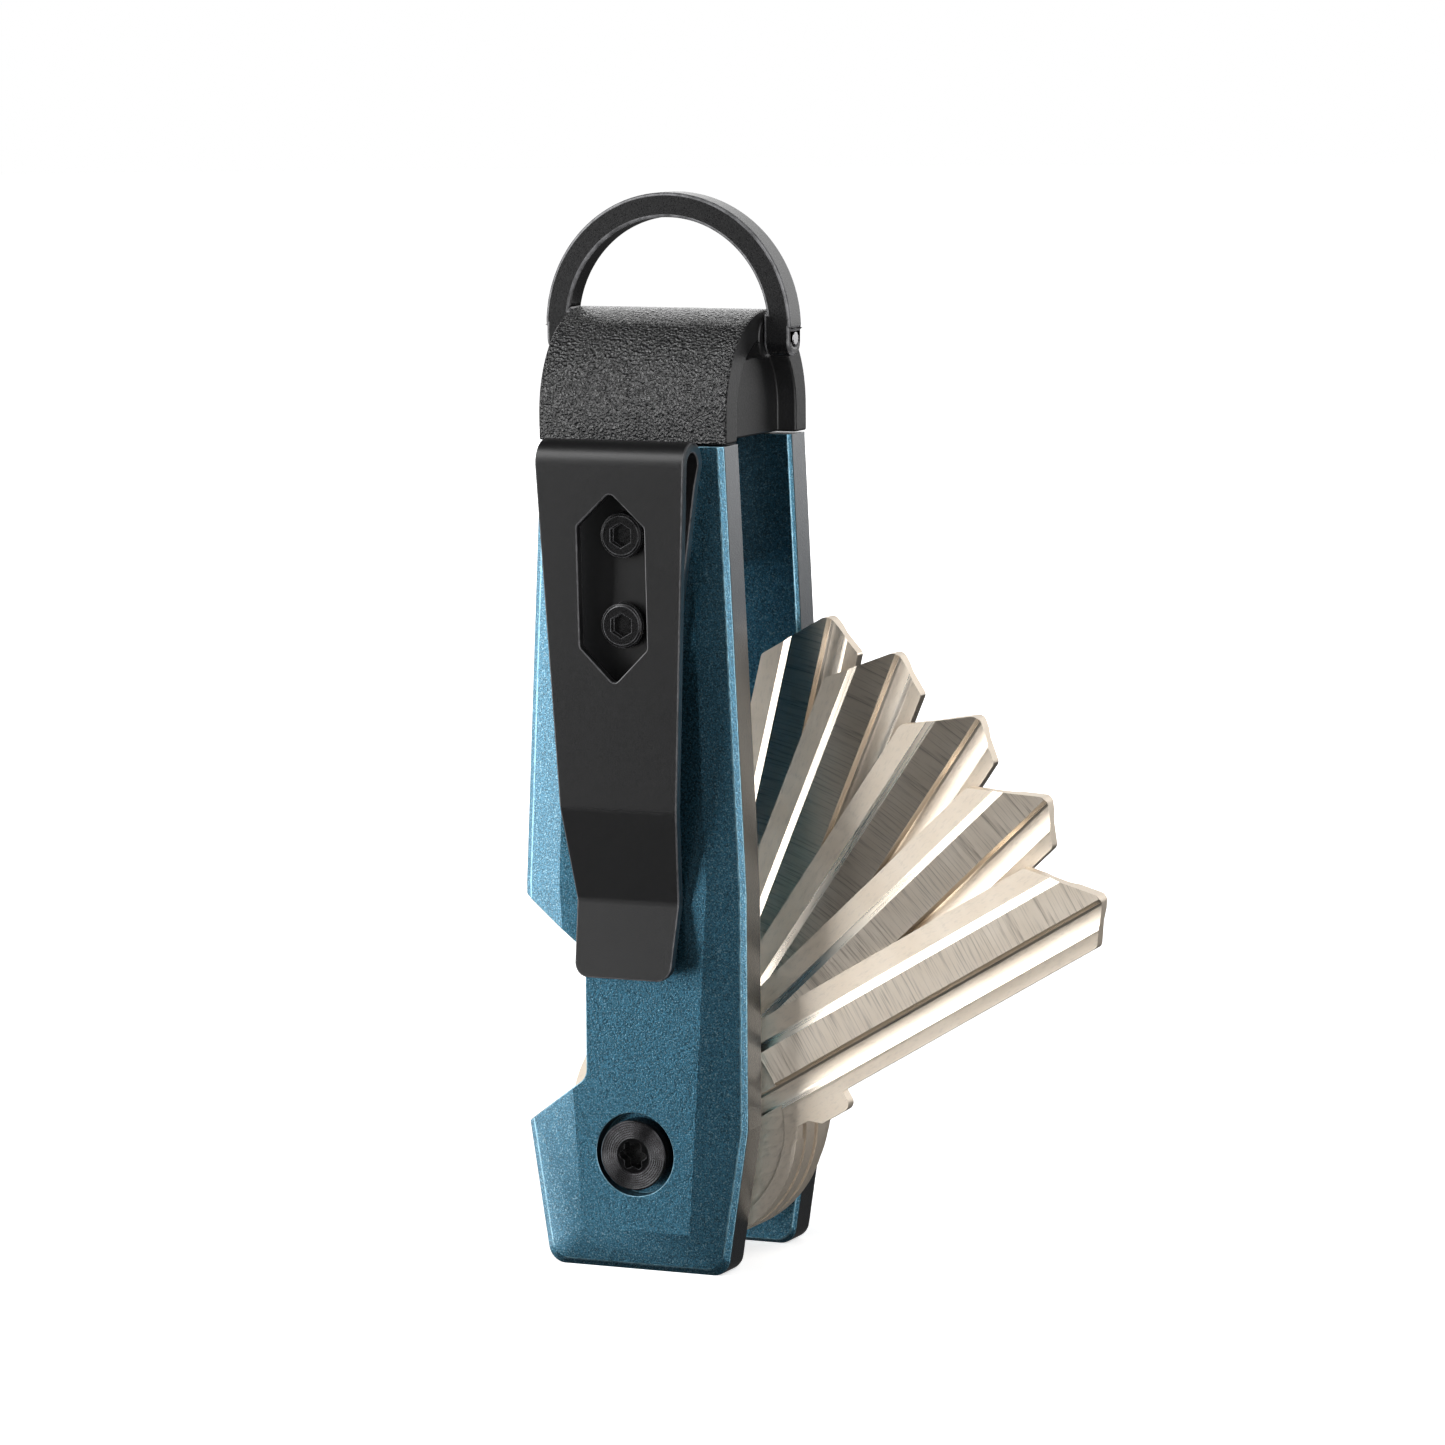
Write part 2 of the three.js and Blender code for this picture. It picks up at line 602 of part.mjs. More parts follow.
// The strip's outer surface, from the tip up the front leg, round the bend and down the back leg.
function clipPath() {
  const backY = -FLAT_Y - FACE_GAP;
  const bendCentreY = backY - CLIP_BEND_RADIUS;
  return [
    new THREE.Vector2(CLIP_TIP.y, CLIP_TIP.z),
    new THREE.Vector2(CLIP_SECOND_BEND.y, CLIP_SECOND_BEND.z),
    new THREE.Vector2(CLIP_FIRST_BEND.y, CLIP_FIRST_BEND.z),
    ...arc(bendCentreY, CLIP_BEND_Z, CLIP_BEND_RADIUS, 180, 0, 12),
    new THREE.Vector2(backY, CLIP_BACK_END_Z),
  ];
}

// The strip's outlines seen from the front: the tapering front leg and the shorter back leg.
function clipFrontOutline() {
  const top = CLIP_BEND_Z + CLIP_BEND_RADIUS + OVERSHOOT;
  const half = [
    [CLIP_TIP_HALF_WIDTH, CLIP_TIP.z, CLIP_TIP_RADIUS],
    [CLIP_SECOND_BEND_HALF_WIDTH, CLIP_SECOND_BEND.z],
    [CLIP_FIRST_BEND_HALF_WIDTH, CLIP_FIRST_BEND.z],
    [CLIP_TOP_HALF_WIDTH, CLIP_BEND_Z],
    [CLIP_TOP_HALF_WIDTH, top],
  ];
  return outline([...half, ...half.map(([x, z, radius]) => [-x, z, radius]).reverse()]);
}

function clipBackOutline() {
  const top = CLIP_BEND_Z + CLIP_BEND_RADIUS + OVERSHOOT;
  const half = [
    [CLIP_BACK_END_HALF_WIDTH, CLIP_BACK_END_Z, CLIP_BACK_END_RADIUS],
    [CLIP_BACK_HALF_WIDTH, CLIP_BEND_Z - OVERSHOOT],
    [CLIP_TOP_HALF_WIDTH, CLIP_BEND_Z],
    [CLIP_TOP_HALF_WIDTH, top],
  ];
  return outline([...half, ...half.map(([x, z, radius]) => [-x, z, radius]).reverse()]);
}

function clipWindow() {
  const [low, high] = WINDOW_STRAIGHT;
  const [bottom, top] = WINDOW_POINTS;
  return prismAlongY(outline([
    [0, bottom, WINDOW_POINT_RADIUS],
    [WINDOW_HALF_WIDTH, low, WINDOW_CORNER_RADIUS],
    [WINDOW_HALF_WIDTH, high, WINDOW_CORNER_RADIUS],
    [0, top, WINDOW_POINT_RADIUS],
    [-WINDOW_HALF_WIDTH, high, WINDOW_CORNER_RADIUS],
    [-WINDOW_HALF_WIDTH, low, WINDOW_CORNER_RADIUS],
  ], 2), CLIP_SPLIT_Y - 2 * CLIP_BEND_RADIUS, CLIP_SPLIT_Y);
}

function pocketClip() {
  const strip = prismAlongX(stripOutline(clipPath()), -CLIP_TOP_HALF_WIDTH, CLIP_TOP_HALF_WIDTH);
  const farY = CLIP_SPLIT_Y - 3 * CLIP_BEND_RADIUS;
  const behindFrontLeg = block(
    -CLIP_TOP_HALF_WIDTH - 1, CLIP_TOP_HALF_WIDTH + 1,
    CLIP_SPLIT_Y, -FLAT_Y + OVERSHOOT,
    CLIP_BACK_END_Z - OVERSHOOT, PLATE_HEIGHT + 3 * OVERSHOOT,
  );
  const frontRegion = cut(prismAlongY(clipFrontOutline(), farY, -FLAT_Y + 1), behindFrontLeg);
  const backRegion = prismAlongY(clipBackOutline(), CLIP_SPLIT_Y - FACE_GAP, -FLAT_Y + 1);
  const holes = Object.values(SCREW_HEIGHTS).map((z) => cylinderAlongY(
    SCREW_SHANK_RADIUS + HOLE_CLEARANCE, CLIP_SPLIT_Y, -FLAT_Y + OVERSHOOT, 0, z, SMALL_SIDES,
  ));
  return cut(strip.intersect(join(frontRegion, backRegion)), clipWindow(), ...holes);
}

// ---------------------------------------------------------------- small screws

// A socket-head screw whose head's underside is at seatY. side is the face it is driven from.
function socketScrew(side, seatY, endY, z) {
  const faceY = seatY + side * SCREW_HEAD_HEIGHT;
  const span = (a, b) => [Math.min(a, b), Math.max(a, b)];
  const head = cylinderAlongY(SCREW_HEAD_RADIUS, ...span(seatY, faceY), 0, z, MEDIUM_SIDES);
  const shank = cylinderAlongY(SCREW_SHANK_RADIUS, ...span(endY, seatY + side * FACE_GAP), 0, z, SMALL_SIDES);
  const socketSpan = span(faceY - side * SCREW_SOCKET_DEPTH, faceY + side * OVERSHOOT);
  const socket = cylinderAlongY(SCREW_SOCKET_RADIUS, ...socketSpan, 0, z, 6);
  return cut(join(head, shank), socket);
}

function clipScrew(z, endY) {
  return socketScrew(-1, -FLAT_Y - CLIP_THICKNESS - 2 * FACE_GAP, -endY, z);
}

function rearCapScrew() {
  return socketScrew(1, REAR_SEAT_Y + FACE_GAP, UPPER_SCREW_END_Y, SCREW_HEIGHTS.upper);
}

// ---------------------------------------------------------------- assembly

const organiser = new THREE.Group();

organiser.add(
  toMesh('front_plate', frontPlate(), materials.blueAluminium),
  toMesh('rear_plate', rearPlate(), materials.blueAluminium),
  toMesh('end_cap', endCap(), materials.blackPlastic),
  toMesh('d_ring', dRing(), materials.blackSteel),
  toMesh('ring_pin_left', ringPin(-1), materials.pinSteel),
  toMesh('ring_pin_right', ringPin(1), materials.pinSteel),
  toMesh('pocket_clip', pocketClip(), materials.blackSteel),
  toMesh('clip_screw_upper', clipScrew(SCREW_HEIGHTS.upper, UPPER_SCREW_END_Y), materials.blackScrew),
  toMesh('clip_screw_lower', clipScrew(SCREW_HEIGHTS.lower, LOWER_SCREW_END_Y), materials.blackScrew),
  toMesh('rear_cap_screw', rearCapScrew(), materials.blackScrew),
  toMesh('pivot_screw', pivotScrew(), materials.blackScrew),
  toMesh('pivot_nut', pivotNut(), materials.blackScrew),
);

KEY_ANGLES.forEach((angle, index) => organiser.add(keyOnPivot(index)));

for (let number = 1; number <= KEY_ANGLES.length + 1; number += 1) {
  organiser.add(toMesh(`washer_${number}`, washer(number), materials.washerSteel));
}

// The origin is the middle of the rear plate's flat face, with +Y out of that face.
organiser.position.set(0, -FLAT_Y, -PLATE_HEIGHT / 2);

const keyOrganiser = new THREE.Group();
keyOrganiser.add(organiser);

export default keyOrganiser;
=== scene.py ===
"""Looks for the key organiser: fine meshes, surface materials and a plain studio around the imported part.

Pieces are drawn in millimetres in the organiser's own body frame: X across, Y from front to back with 0
halfway between the plates, Z up with 0 at the plates' lower end. place() then moves each one into the
row frame, in metres.
"""

import math

import bmesh
import bpy
from mathutils import Matrix, Vector


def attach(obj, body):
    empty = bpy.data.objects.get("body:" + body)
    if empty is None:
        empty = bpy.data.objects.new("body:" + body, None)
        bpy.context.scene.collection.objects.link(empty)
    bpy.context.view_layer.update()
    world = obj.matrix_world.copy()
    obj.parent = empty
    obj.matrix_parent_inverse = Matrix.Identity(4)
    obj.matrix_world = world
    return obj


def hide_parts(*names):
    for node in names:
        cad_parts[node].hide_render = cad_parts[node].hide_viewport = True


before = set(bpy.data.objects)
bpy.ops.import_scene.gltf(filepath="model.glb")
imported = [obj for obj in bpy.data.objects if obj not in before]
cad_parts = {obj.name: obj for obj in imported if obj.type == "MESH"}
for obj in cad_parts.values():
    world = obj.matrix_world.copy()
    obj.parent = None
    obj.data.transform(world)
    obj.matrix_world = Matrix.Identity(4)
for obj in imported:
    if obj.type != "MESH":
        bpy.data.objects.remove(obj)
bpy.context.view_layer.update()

# ---------------------------------------------------------------- dimensions, in millimetres

# Outlines are lists of corners: two coordinates, then the radius that rounds the corner off
PLATE_HEIGHT = 80
WIDEST_FROM = 14.4
PLATE_HALF = [(9.4, 0, 1.8), (11.6, WIDEST_FROM, 0), (11.6, 37.3, 0), (9.6, PLATE_HEIGHT, 0)]
INNER_FACE_Y = 6.15
SIDE_Y = 9.75
FLAT_Y = 10.5
EDGE_CHAMFER_WIDTH = 0.6
EDGE_CHAMFER_DEPTH = 0.3
INNER_CHAMFER = 0.35
FLAT_TOP_HALF_WIDTH = 6.1
FLAT_HALF_WIDTH = 7.75
FLAT_BOTTOM = (5.7, 3.9)
NOTCH = [(-14, 12, 0), (-5.1, 18.6, 1.6), (-5.1, 31, 1.6), (-14, 38, 0)]

PIVOT_Z = 11.4
PIVOT_HEAD_RADIUS = 3.42
PIVOT_HEAD_PROUD = 0.5
COUNTERBORE_RADIUS = 4.05
COUNTERBORE_FLOOR_Y = 8.95
PIVOT_HEAD_CHAMFER = 0.12
BARREL_RADIUS = 2.2
BARREL_CLEARANCE = 0.1
THREAD_RADIUS = 1.25
THREAD_END_Y = 3
THREAD_BORE_END_Y = 3.6
RING_GROOVE_PITCH = 0.22
RING_GROOVE_DEPTH = 0.06
DRIVE_LOBES = 6
DRIVE_RADIUS = 1.25
DRIVE_LOBE_HEIGHT = 0.2
DRIVE_RIM_RADIUS = 1.5
FRONT_DRIVE_DEPTH = 1.3
REAR_DRIVE_DEPTH = 1.1

KEY_THICKNESS = 2
KEY_PITCH = 2.36
KEY_ANGLES = [30.8, 43.6, 56, 67.6, 76.6]
KEY_SIDE_PLAY = [0.65, -0.35, -1.3, -1.3, -1.05]
BOW_RADIUS = 11.9
BOW_CENTRE_U = 3.9
BOW_RIM = 1.35
BOW_RECESS = 0.3
KEY_HOLE_RADIUS = 3.6
BLADE_HALF_WIDTH = 4.95
BLADE_CORNER_RADIUS = 0.6
TIP_U = 53.3
TIP_RADIUS = 0.8
SHOULDER_END_U = 20.3
SHOULDER_REACH = 6.7
LAND_DEPTH = 0.45
GROOVE_DEPTH = 0.55
GROOVE_START_U = 9

WASHER_COUNT = len(KEY_ANGLES) + 1
WASHER_RADIUS = 5
WASHER_THICKNESS = 0.3

CAP_HALF_WIDTH = 9.8
CAP_BOTTOM_Z = 80.15
CAP_ARCH_Z = 82.7
CAP_WALL = 2.65
CAP_RECESS_DEPTH = 2
BOSS_RADIUS = 2
BOSS_REACH = 9.95
TONGUE_HALF_WIDTH = 4
TONGUE_BOTTOM_Z = 67

RING_OUTER_RADIUS = 12.9
RING_INNER_RADIUS = 10.5
RING_CENTRE_Z = 90.65
RING_HALF_DEPTH = 1.45
LEG_X = (10.1, 12.8)
LEG_END_Z = 89.45
LEG_OVERLAP = 1.5
PIN_Z = 89.7
PIN_RADIUS = 0.65
PIN_X = (5.5, 12.87)

CLIP_THICKNESS = 1
CLIP_BEND_RADIUS = 2.3
CLIP_BEND_Z = 78.3
CLIP_BACK_Y = -10.55
CLIP_BACK_END_Z = 56
CLIP_TIP = (-13.2, 28.9)
CLIP_SECOND_BEND = (-11.6, 36.2)
CLIP_SECOND_BEND_RADIUS = 1.5
CLIP_FIRST_BEND = (-13.75, 45.3)
CLIP_FIRST_BEND_RADIUS = 4
CLIP_SPLIT_Y = -12.8
CLIP_TOP_HALF_WIDTH = 7.7
CLIP_TOP_HALF = [(CLIP_TOP_HALF_WIDTH, CLIP_BEND_Z, 0), (CLIP_TOP_HALF_WIDTH, 84, 0)]
CLIP_FRONT_HALF = [
    (5, CLIP_TIP[1], 1.5),
    (5.35, CLIP_SECOND_BEND[1], 0),
    (6.1, CLIP_FIRST_BEND[1], 0),
    *CLIP_TOP_HALF,
]
CLIP_BACK_HALF = [(4.6, CLIP_BACK_END_Z, 2), (7.3, 76.3, 0), *CLIP_TOP_HALF]
WINDOW = [
    (0, 57.4, 0.6),
    (3.5, 60.9, 0.5),
    (3.5, 72.5, 0.5),
    (0, 75.8, 0.6),
    (-3.5, 72.5, 0.5),
    (-3.5, 60.9, 0.5),
]

UPPER_SCREW_Z = 71.5
LOWER_SCREW_Z = 62.9
SCREW_HEAD_RADIUS = 2.2
SCREW_HEAD_HEIGHT = 1
SCREW_HEAD_ROUNDING = 0.35
SCREW_SHANK_RADIUS = 1.2
SCREW_SOCKET_RADIUS = 1.22
SCREW_SOCKET_DEPTH = 0.7

GAP = 0.06
SEAT_GAP = 0.05
OVERSHOOT = 2
ROUND_SIDES = 96
HOLE_SIDES = 64

TO_ROW_FRAME = Matrix.Translation((0, -FLAT_Y / 1000, -PLATE_HEIGHT / 2000)) @ Matrix.Scale(0.001, 4)

# ---------------------------------------------------------------- outlines


def outline(corners, arc_steps=12):
    """The closed outline through (x, y, radius) corners, each with a radius rounded off."""
    points = []
    for i, (x, y, radius) in enumerate(corners):
        corner = Vector((x, y))
        if radius == 0:
            points.append(corner)
            continue
        to_before = (Vector(corners[i - 1][:2]) - corner).normalized()
        to_after = (Vector(corners[(i + 1) % len(corners)][:2]) - corner).normalized()
        half_angle = to_before.angle(to_after) / 2
        centre = corner + (to_before + to_after).normalized() * radius / math.sin(half_angle)
        start = corner + to_before * radius / math.tan(half_angle) - centre
        end = corner + to_after * radius / math.tan(half_angle) - centre
        turn = math.atan2(start.x * end.y - start.y * end.x, start.dot(end))
        for step in range(arc_steps + 1):
            spoke = Matrix.Rotation(turn * step / arc_steps, 2) @ start
            points.append(centre + spoke)
    return points


def both_halves(half):
    """Corners of a symmetric outline, from the corners of its right half."""
    return list(half) + [(-x, z, radius) for x, z, radius in reversed(half)]


def arc(centre_x, centre_y, radius, from_degrees, to_degrees, steps):
    points = []
    for step in range(steps + 1):
        angle = math.radians(from_degrees + (to_degrees - from_degrees) * step / steps)
        points.append(Vector((centre_x + radius * math.cos(angle), centre_y + radius * math.sin(angle))))
    return points


# ---------------------------------------------------------------- solids


def loft(name, rings):
    """A closed solid through rings of equally many points, with a face across each end."""
    bm = bmesh.new()
    rows = [[bm.verts.new(point) for point in ring] for ring in rings]
    count = len(rows[0])
    for low, high in zip(rows, rows[1:]):
        for i in range(count):
            after = (i + 1) % count
            bm.faces.new((low[i], low[after], high[after], high[i]))
    bm.faces.new(rows[0][::-1])
    bm.faces.new(rows[-1])
    bmesh.ops.remove_doubles(bm, verts=bm.verts, dist=1e-4)
    bmesh.ops.dissolve_degenerate(bm, edges=bm.edges, dist=1e-4)
    bmesh.ops.recalc_face_normals(bm, faces=bm.faces)
    mesh = bpy.data.meshes.new(name)
    bm.to_mesh(mesh)
    bm.free()
    obj = bpy.data.objects.new(name, mesh)
    bpy.context.scene.collection.objects.link(obj)
    return obj


def prism_y(points, y0, y1):
    """An outline in X and Z, extruded along Y."""
    return loft("prism", [[(x, y, z) for x, z in points] for y in (y0, y1)])


def prism_x(points, x0, x1):
    """An outline in Y and Z, extruded along X."""
    return loft("prism", [[(x, y, z) for y, z in points] for x in (x0, x1)])


def box(x0, x1, y0, y1, z0, z1):
    return prism_y([(x0, z0), (x1, z0), (x1, z1), (x0, z1)], y0, y1)


def turned_y(profile, x, z, sides=ROUND_SIDES):
    """A solid of revolution about a line along Y, from (radius, y) pairs."""
    circles = [(y, arc(x, z, radius, 0, 360, sides)[:-1]) for radius, y in profile]
    return loft("turned", [[(point.x, y, point.y) for point in circle] for y, circle in circles])


def turned_x(profile, y, z, sides=ROUND_SIDES):
    """A solid of revolution about a line along X, from (radius, x) pairs."""
    circles = [(x, arc(y, z, radius, 0, 360, sides)[:-1]) for radius, x in profile]
    return loft("turned", [[(x, point.x, point.y) for point in circle] for x, circle in circles])


def bake(obj):
    """Turns the object's modifiers into its mesh."""
    depsgraph = bpy.context.evaluated_depsgraph_get()
    mesh = bpy.data.meshes.new_from_object(obj.evaluated_get(depsgraph))
    obj.modifiers.clear()
    obj.data = mesh
    return obj


def combine(operation, target, tools):
    """Applies a boolean of each tool to the target, and removes the tools."""
    for tool in tools:
        modifier = target.modifiers.new(operation, "BOOLEAN")
        modifier.operation = operation
        modifier.solver = "EXACT"
        modifier.object = tool
    bake(target)
    for tool in tools:
        bpy.data.objects.remove(tool)
    return target


def join(target, *others):
    return combine("UNION", target, others)


def cut(target, *tools):
    return combine("DIFFERENCE", target, tools)


def keep_inside(target, region):
    return combine("INTERSECT", target, [region])


def round_edges(obj, width, limit_degrees, segments=3, clamp=False, crease_degrees=None):
    """Merges flat regions, then rounds every edge sharper than the limit. Creases stay crisp."""
    bm = bmesh.new()
    bm.from_mesh(obj.data)
    bmesh.ops.remove_doubles(bm, verts=bm.verts, dist=1e-3)
    bmesh.ops.dissolve_limit(bm, angle_limit=math.radians(0.3), verts=bm.verts, edges=bm.edges)
    for face in bm.faces:
        face.smooth = True
    bm.to_mesh(obj.data)
    bm.free()
    obj.data.set_sharp_from_angle(angle=math.radians(crease_degrees or limit_degrees))
    modifier = obj.modifiers.new("rounding", "BEVEL")
    modifier.width = width
    modifier.segments = segments
    modifier.limit_method = "ANGLE"
    modifier.angle_limit = math.radians(limit_degrees)
    modifier.use_clamp_overlap = clamp
    modifier.harden_normals = True
    obj.data.materials.append(None)
    obj.data.materials.append(None)
    modifier.material = 1
    return mark_rounding(bake(obj))


def mark_rounding(obj):
    """Stores which faces are rounded edges, as an attribute that the materials read as wear and as painted
    edge highlight.
    """
    rounded = [float(polygon.material_index) for polygon in obj.data.polygons]
    obj.data.attributes.new("rounded", "FLOAT", "FACE").data.foreach_set("value", rounded)
    for polygon in obj.data.polygons:
        polygon.material_index = 0
    return obj


def place(obj, name, body, material):
    """Makes a drawn piece the visible stand-in for the CAD node of the same name."""
    obj.name = f"{name}_fine"
    obj.data.transform(TO_ROW_FRAME)
    finish(obj, name, body, material)


def finish(obj, name, body, material):
    """Gives a piece its material and its body, and hides the CAD node that it replaces."""
    obj.data.materials.clear()
    obj.data.materials.append(material)
    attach(obj, body)
    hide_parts(name)


def repaint(obj, material, is_chosen):
    """Gives the chosen faces of a piece another material."""
    obj.data.materials.append(material)
    for polygon in obj.data.polygons:
        if is_chosen(polygon):
            polygon.material_index = len(obj.data.materials) - 1


# ---------------------------------------------------------------- material building blocks


def linear(red, green, blue):
    """A scene-linear colour from 8-bit screen values."""
    def convert(value):
        value /= 255
        return value / 12.92 if value <= 0.04045 else ((value + 0.055) / 1.055) ** 2.4

    return (convert(red), convert(green), convert(blue), 1)


class Shader:
    """A material with one Principled BSDF, and short ways to add nodes in front of it."""

    def __init__(self, name, **settings):
        self.material = bpy.data.materials.new(name)
        self.material.use_nodes = True
        self.nodes = self.material.node_tree.nodes
        self.links = self.material.node_tree.links
        self.bsdf = self.nodes["Principled BSDF"]
        for socket, value in settings.items():
            self.bsdf.inputs[socket.replace("_", " ")].default_value = value

    def add(self, kind, inputs=None, **properties):
        node = self.nodes.new(kind)
        for key, value in properties.items():
            setattr(node, key, value)
        for socket, value in (inputs or {}).items():
            if isinstance(value, bpy.types.NodeSocket):
                self.links.new(value, node.inputs[socket])
            else:
                node.inputs[socket].default_value = value
        return node

    def feed(self, socket, output):
        self.links.new(output, self.bsdf.inputs[socket])

    def position(self, scale=(1, 1, 1)):
        """Object coordinates in millimetres, stretched by scale."""
        coordinates = self.add("ShaderNodeTexCoord").outputs["Object"]
        factors = tuple(1000 * s for s in scale)
        return self.add("ShaderNodeMapping", {"Vector": coordinates, "Scale": factors}).outputs["Vector"]

    def noise(self, vector, scale, detail=3, roughness=0.5):
        inputs = {"Vector": vector, "Scale": scale, "Detail": detail, "Roughness": roughness}
        return self.add("ShaderNodeTexNoise", inputs).outputs["Fac"]

    def ramp(self, value, low, high, to_low=0, to_high=1):
        inputs = {"Value": value, "From Min": low, "From Max": high, "To Min": to_low, "To Max": to_high}
        return self.add("ShaderNodeMapRange", inputs, clamp=True).outputs["Result"]

    def math(self, operation, a, b=0.0):
        return self.add("ShaderNodeMath", {0: a, 1: b}, operation=operation).outputs["Value"]

    def faded(self, factor, amount):
        """A factor turned down to a share of itself."""
        return self.math("MULTIPLY", factor, amount)

    def blend(self, factor, a, b):
        node = self.add("ShaderNodeMix", data_type="RGBA")
        for socket, value in zip((node.inputs["Factor"], node.inputs[6], node.inputs[7]), (factor, a, b)):
            if isinstance(value, bpy.types.NodeSocket):
                self.links.new(value, socket)
            else:
                socket.default_value = value
        return node.outputs[2]

    def bump(self, height, distance_mm, strength=1.0):
        inputs = {"Height": height, "Distance": distance_mm / 1000, "Strength": strength}
        return self.add("ShaderNodeBump", inputs).outputs["Normal"]

    def worn_and_highlit_edges(self):
        """Up to 1 on rounded edges, in patches, and 0 on the faces between them: where edges are painted
        paler, as wear and as painted edge highlight.
        """
        rounded = self.add("ShaderNodeAttribute", attribute_name="rounded").outputs["Fac"]
        patches = self.ramp(self.noise(self.position(), 1.2, detail=4), 0.35, 0.6, 0.4)
        return self.math("MULTIPLY", rounded, patches)


# ---------------------------------------------------------------- materials


def blasted_blue_aluminium():
    """Bead-blasted faces with painted glints for their fine sparkle, and greyer, duller milled sides."""
    coat = {"Coat_Weight": 0.7, "Coat_Roughness": 0.25}
    shader = Shader("blasted_blue_aluminium", Metallic=1.0, Roughness=0.34, **coat)
    where = shader.position()
    grain = shader.noise(where, 6.5, detail=2, roughness=0.6)
    clouds = shader.noise(where, 0.12, detail=2)
    # Painted glints: sparse near-white specks that stand for the sparkle of light off the blasted grain.
    glint_mask = shader.ramp(shader.noise(where, 7, detail=1), 0.56, 0.7)
    base = shader.blend(clouds, linear(60, 112, 136), linear(68, 122, 147))
    pitted = shader.blend(shader.ramp(grain, 0.35, 0.6), linear(38, 76, 92), base)
    glinted = shader.blend(shader.faded(glint_mask, 0.3), pitted, linear(185, 226, 240))
    # Paler blue on rounded edges: partly wear, partly painted edge highlight.
    wear_and_edge_highlight = shader.blend(shader.faded(shader.worn_and_highlit_edges(), 0.4), glinted, linear(165, 210, 226))
    normal = shader.add("ShaderNodeTexCoord").outputs["Normal"]
    facing = shader.add("ShaderNodeSeparateXYZ", {"Vector": normal}).outputs["Y"]
    on_side = shader.ramp(shader.math("ABSOLUTE", facing), 0.35, 0.25)
    shader.feed("Base Color", shader.blend(on_side, wear_and_edge_highlight, linear(76, 81, 86)))
    shader.feed("Roughness", shader.ramp(grain, 0.3, 0.7, 0.3, 0.4))
    shader.feed("Normal", shader.bump(grain, 0.04, 1.0))
    return shader.material


def eroded_black_plastic():
    """A coarse moulded grain whose crests catch the light."""
    shader = Shader("eroded_black_plastic", Roughness=0.25, Coat_Weight=0.5, Coat_Roughness=0.15)
    where = shader.position()
    coarse = shader.noise(where, 3.8, detail=1, roughness=0.5)
    clouds = shader.noise(where, 0.2)
    crest = shader.ramp(coarse, 0.52, 0.66)
    base = shader.blend(crest, linear(4, 4, 5), linear(18, 18, 19))
    shader.feed("Base Color", shader.blend(shader.faded(clouds, 0.3), base, linear(10, 10, 11)))
    shader.feed("Roughness", shader.ramp(coarse, 0.42, 0.62, 0.38, 0.16))
    grained = shader.bump(coarse, 0.45, 1.0)
    shader.feed("Normal", grained)
    shader.feed("Coat Normal", grained)
    return shader.material


def smooth_black_plastic():
    """The same plastic where the mould was polished: the cap's sides and their recesses."""
    shader = Shader("smooth_black_plastic", Roughness=0.45)
    grain = shader.noise(shader.position(), 5, detail=2)
    shader.feed("Base Color", shader.blend(grain, linear(9, 9, 10), linear(17, 17, 18)))
    shader.feed("Roughness", shader.ramp(grain, 0.3, 0.7, 0.38, 0.5))
    shader.feed("Normal", shader.bump(grain, 0.02, 0.6))
    return shader.material


def coated_black_steel(name, wear_and_edge_highlight, roughness):
    """A thin black coating, paler on the edges: partly wear, partly painted edge highlight."""
    shader = Shader(name, Roughness=roughness)
    where = shader.position()
    grain = shader.noise(where, 7, detail=3, roughness=0.6)
    clouds = shader.noise(where, 0.15, detail=2)
    base = shader.blend(clouds, linear(7, 7, 8), linear(11, 11, 12))
    # Paler rounded edges: partly wear, partly painted edge highlight.
    edge_wear_and_highlight = shader.faded(shader.worn_and_highlit_edges(), 0.7)
    shader.feed("Base Color", shader.blend(edge_wear_and_highlight, base, linear(*wear_and_edge_highlight)))
    shader.feed("Roughness", shader.ramp(grain, 0.3, 0.7, roughness - 0.05, roughness + 0.05))
    shader.feed("Normal", shader.bump(grain, 0.012, 0.6))
    return shader.material


def blackened_steel(name, dark, light, wear_and_edge_highlight, metallic, roughness):
    """Black oxide with a fine grain. Its edges go towards a paler colour: partly wear, partly painted edge
    highlight.
    """
    shader = Shader(name, Metallic=metallic)
    grain = shader.noise(shader.position(), 9, detail=2)
    base = shader.blend(grain, linear(*dark), linear(*light))
    # Paler rounded edges: partly wear, partly painted edge highlight.
    shader.feed("Base Color", shader.blend(shader.worn_and_highlit_edges(), base, linear(*wear_and_edge_highlight)))
    shader.feed("Roughness", shader.ramp(grain, 0.3, 0.7, roughness - 0.05, roughness + 0.05))
    shader.feed("Normal", shader.bump(grain, 0.004, 0.5))
    return shader.material


def bright_steel(name, dark, light):
    """Bare ground steel."""
    shader = Shader(name, Metallic=1.0, Roughness=0.28)
    grain = shader.noise(shader.position(), 6, detail=3)
    shader.feed("Base Color", shader.blend(grain, linear(*dark), linear(*light)))
    shader.feed("Roughness", shader.ramp(grain, 0.3, 0.7, 0.22, 0.36))
    shader.feed("Normal", shader.bump(grain, 0.006, 0.5))
    return shader.material


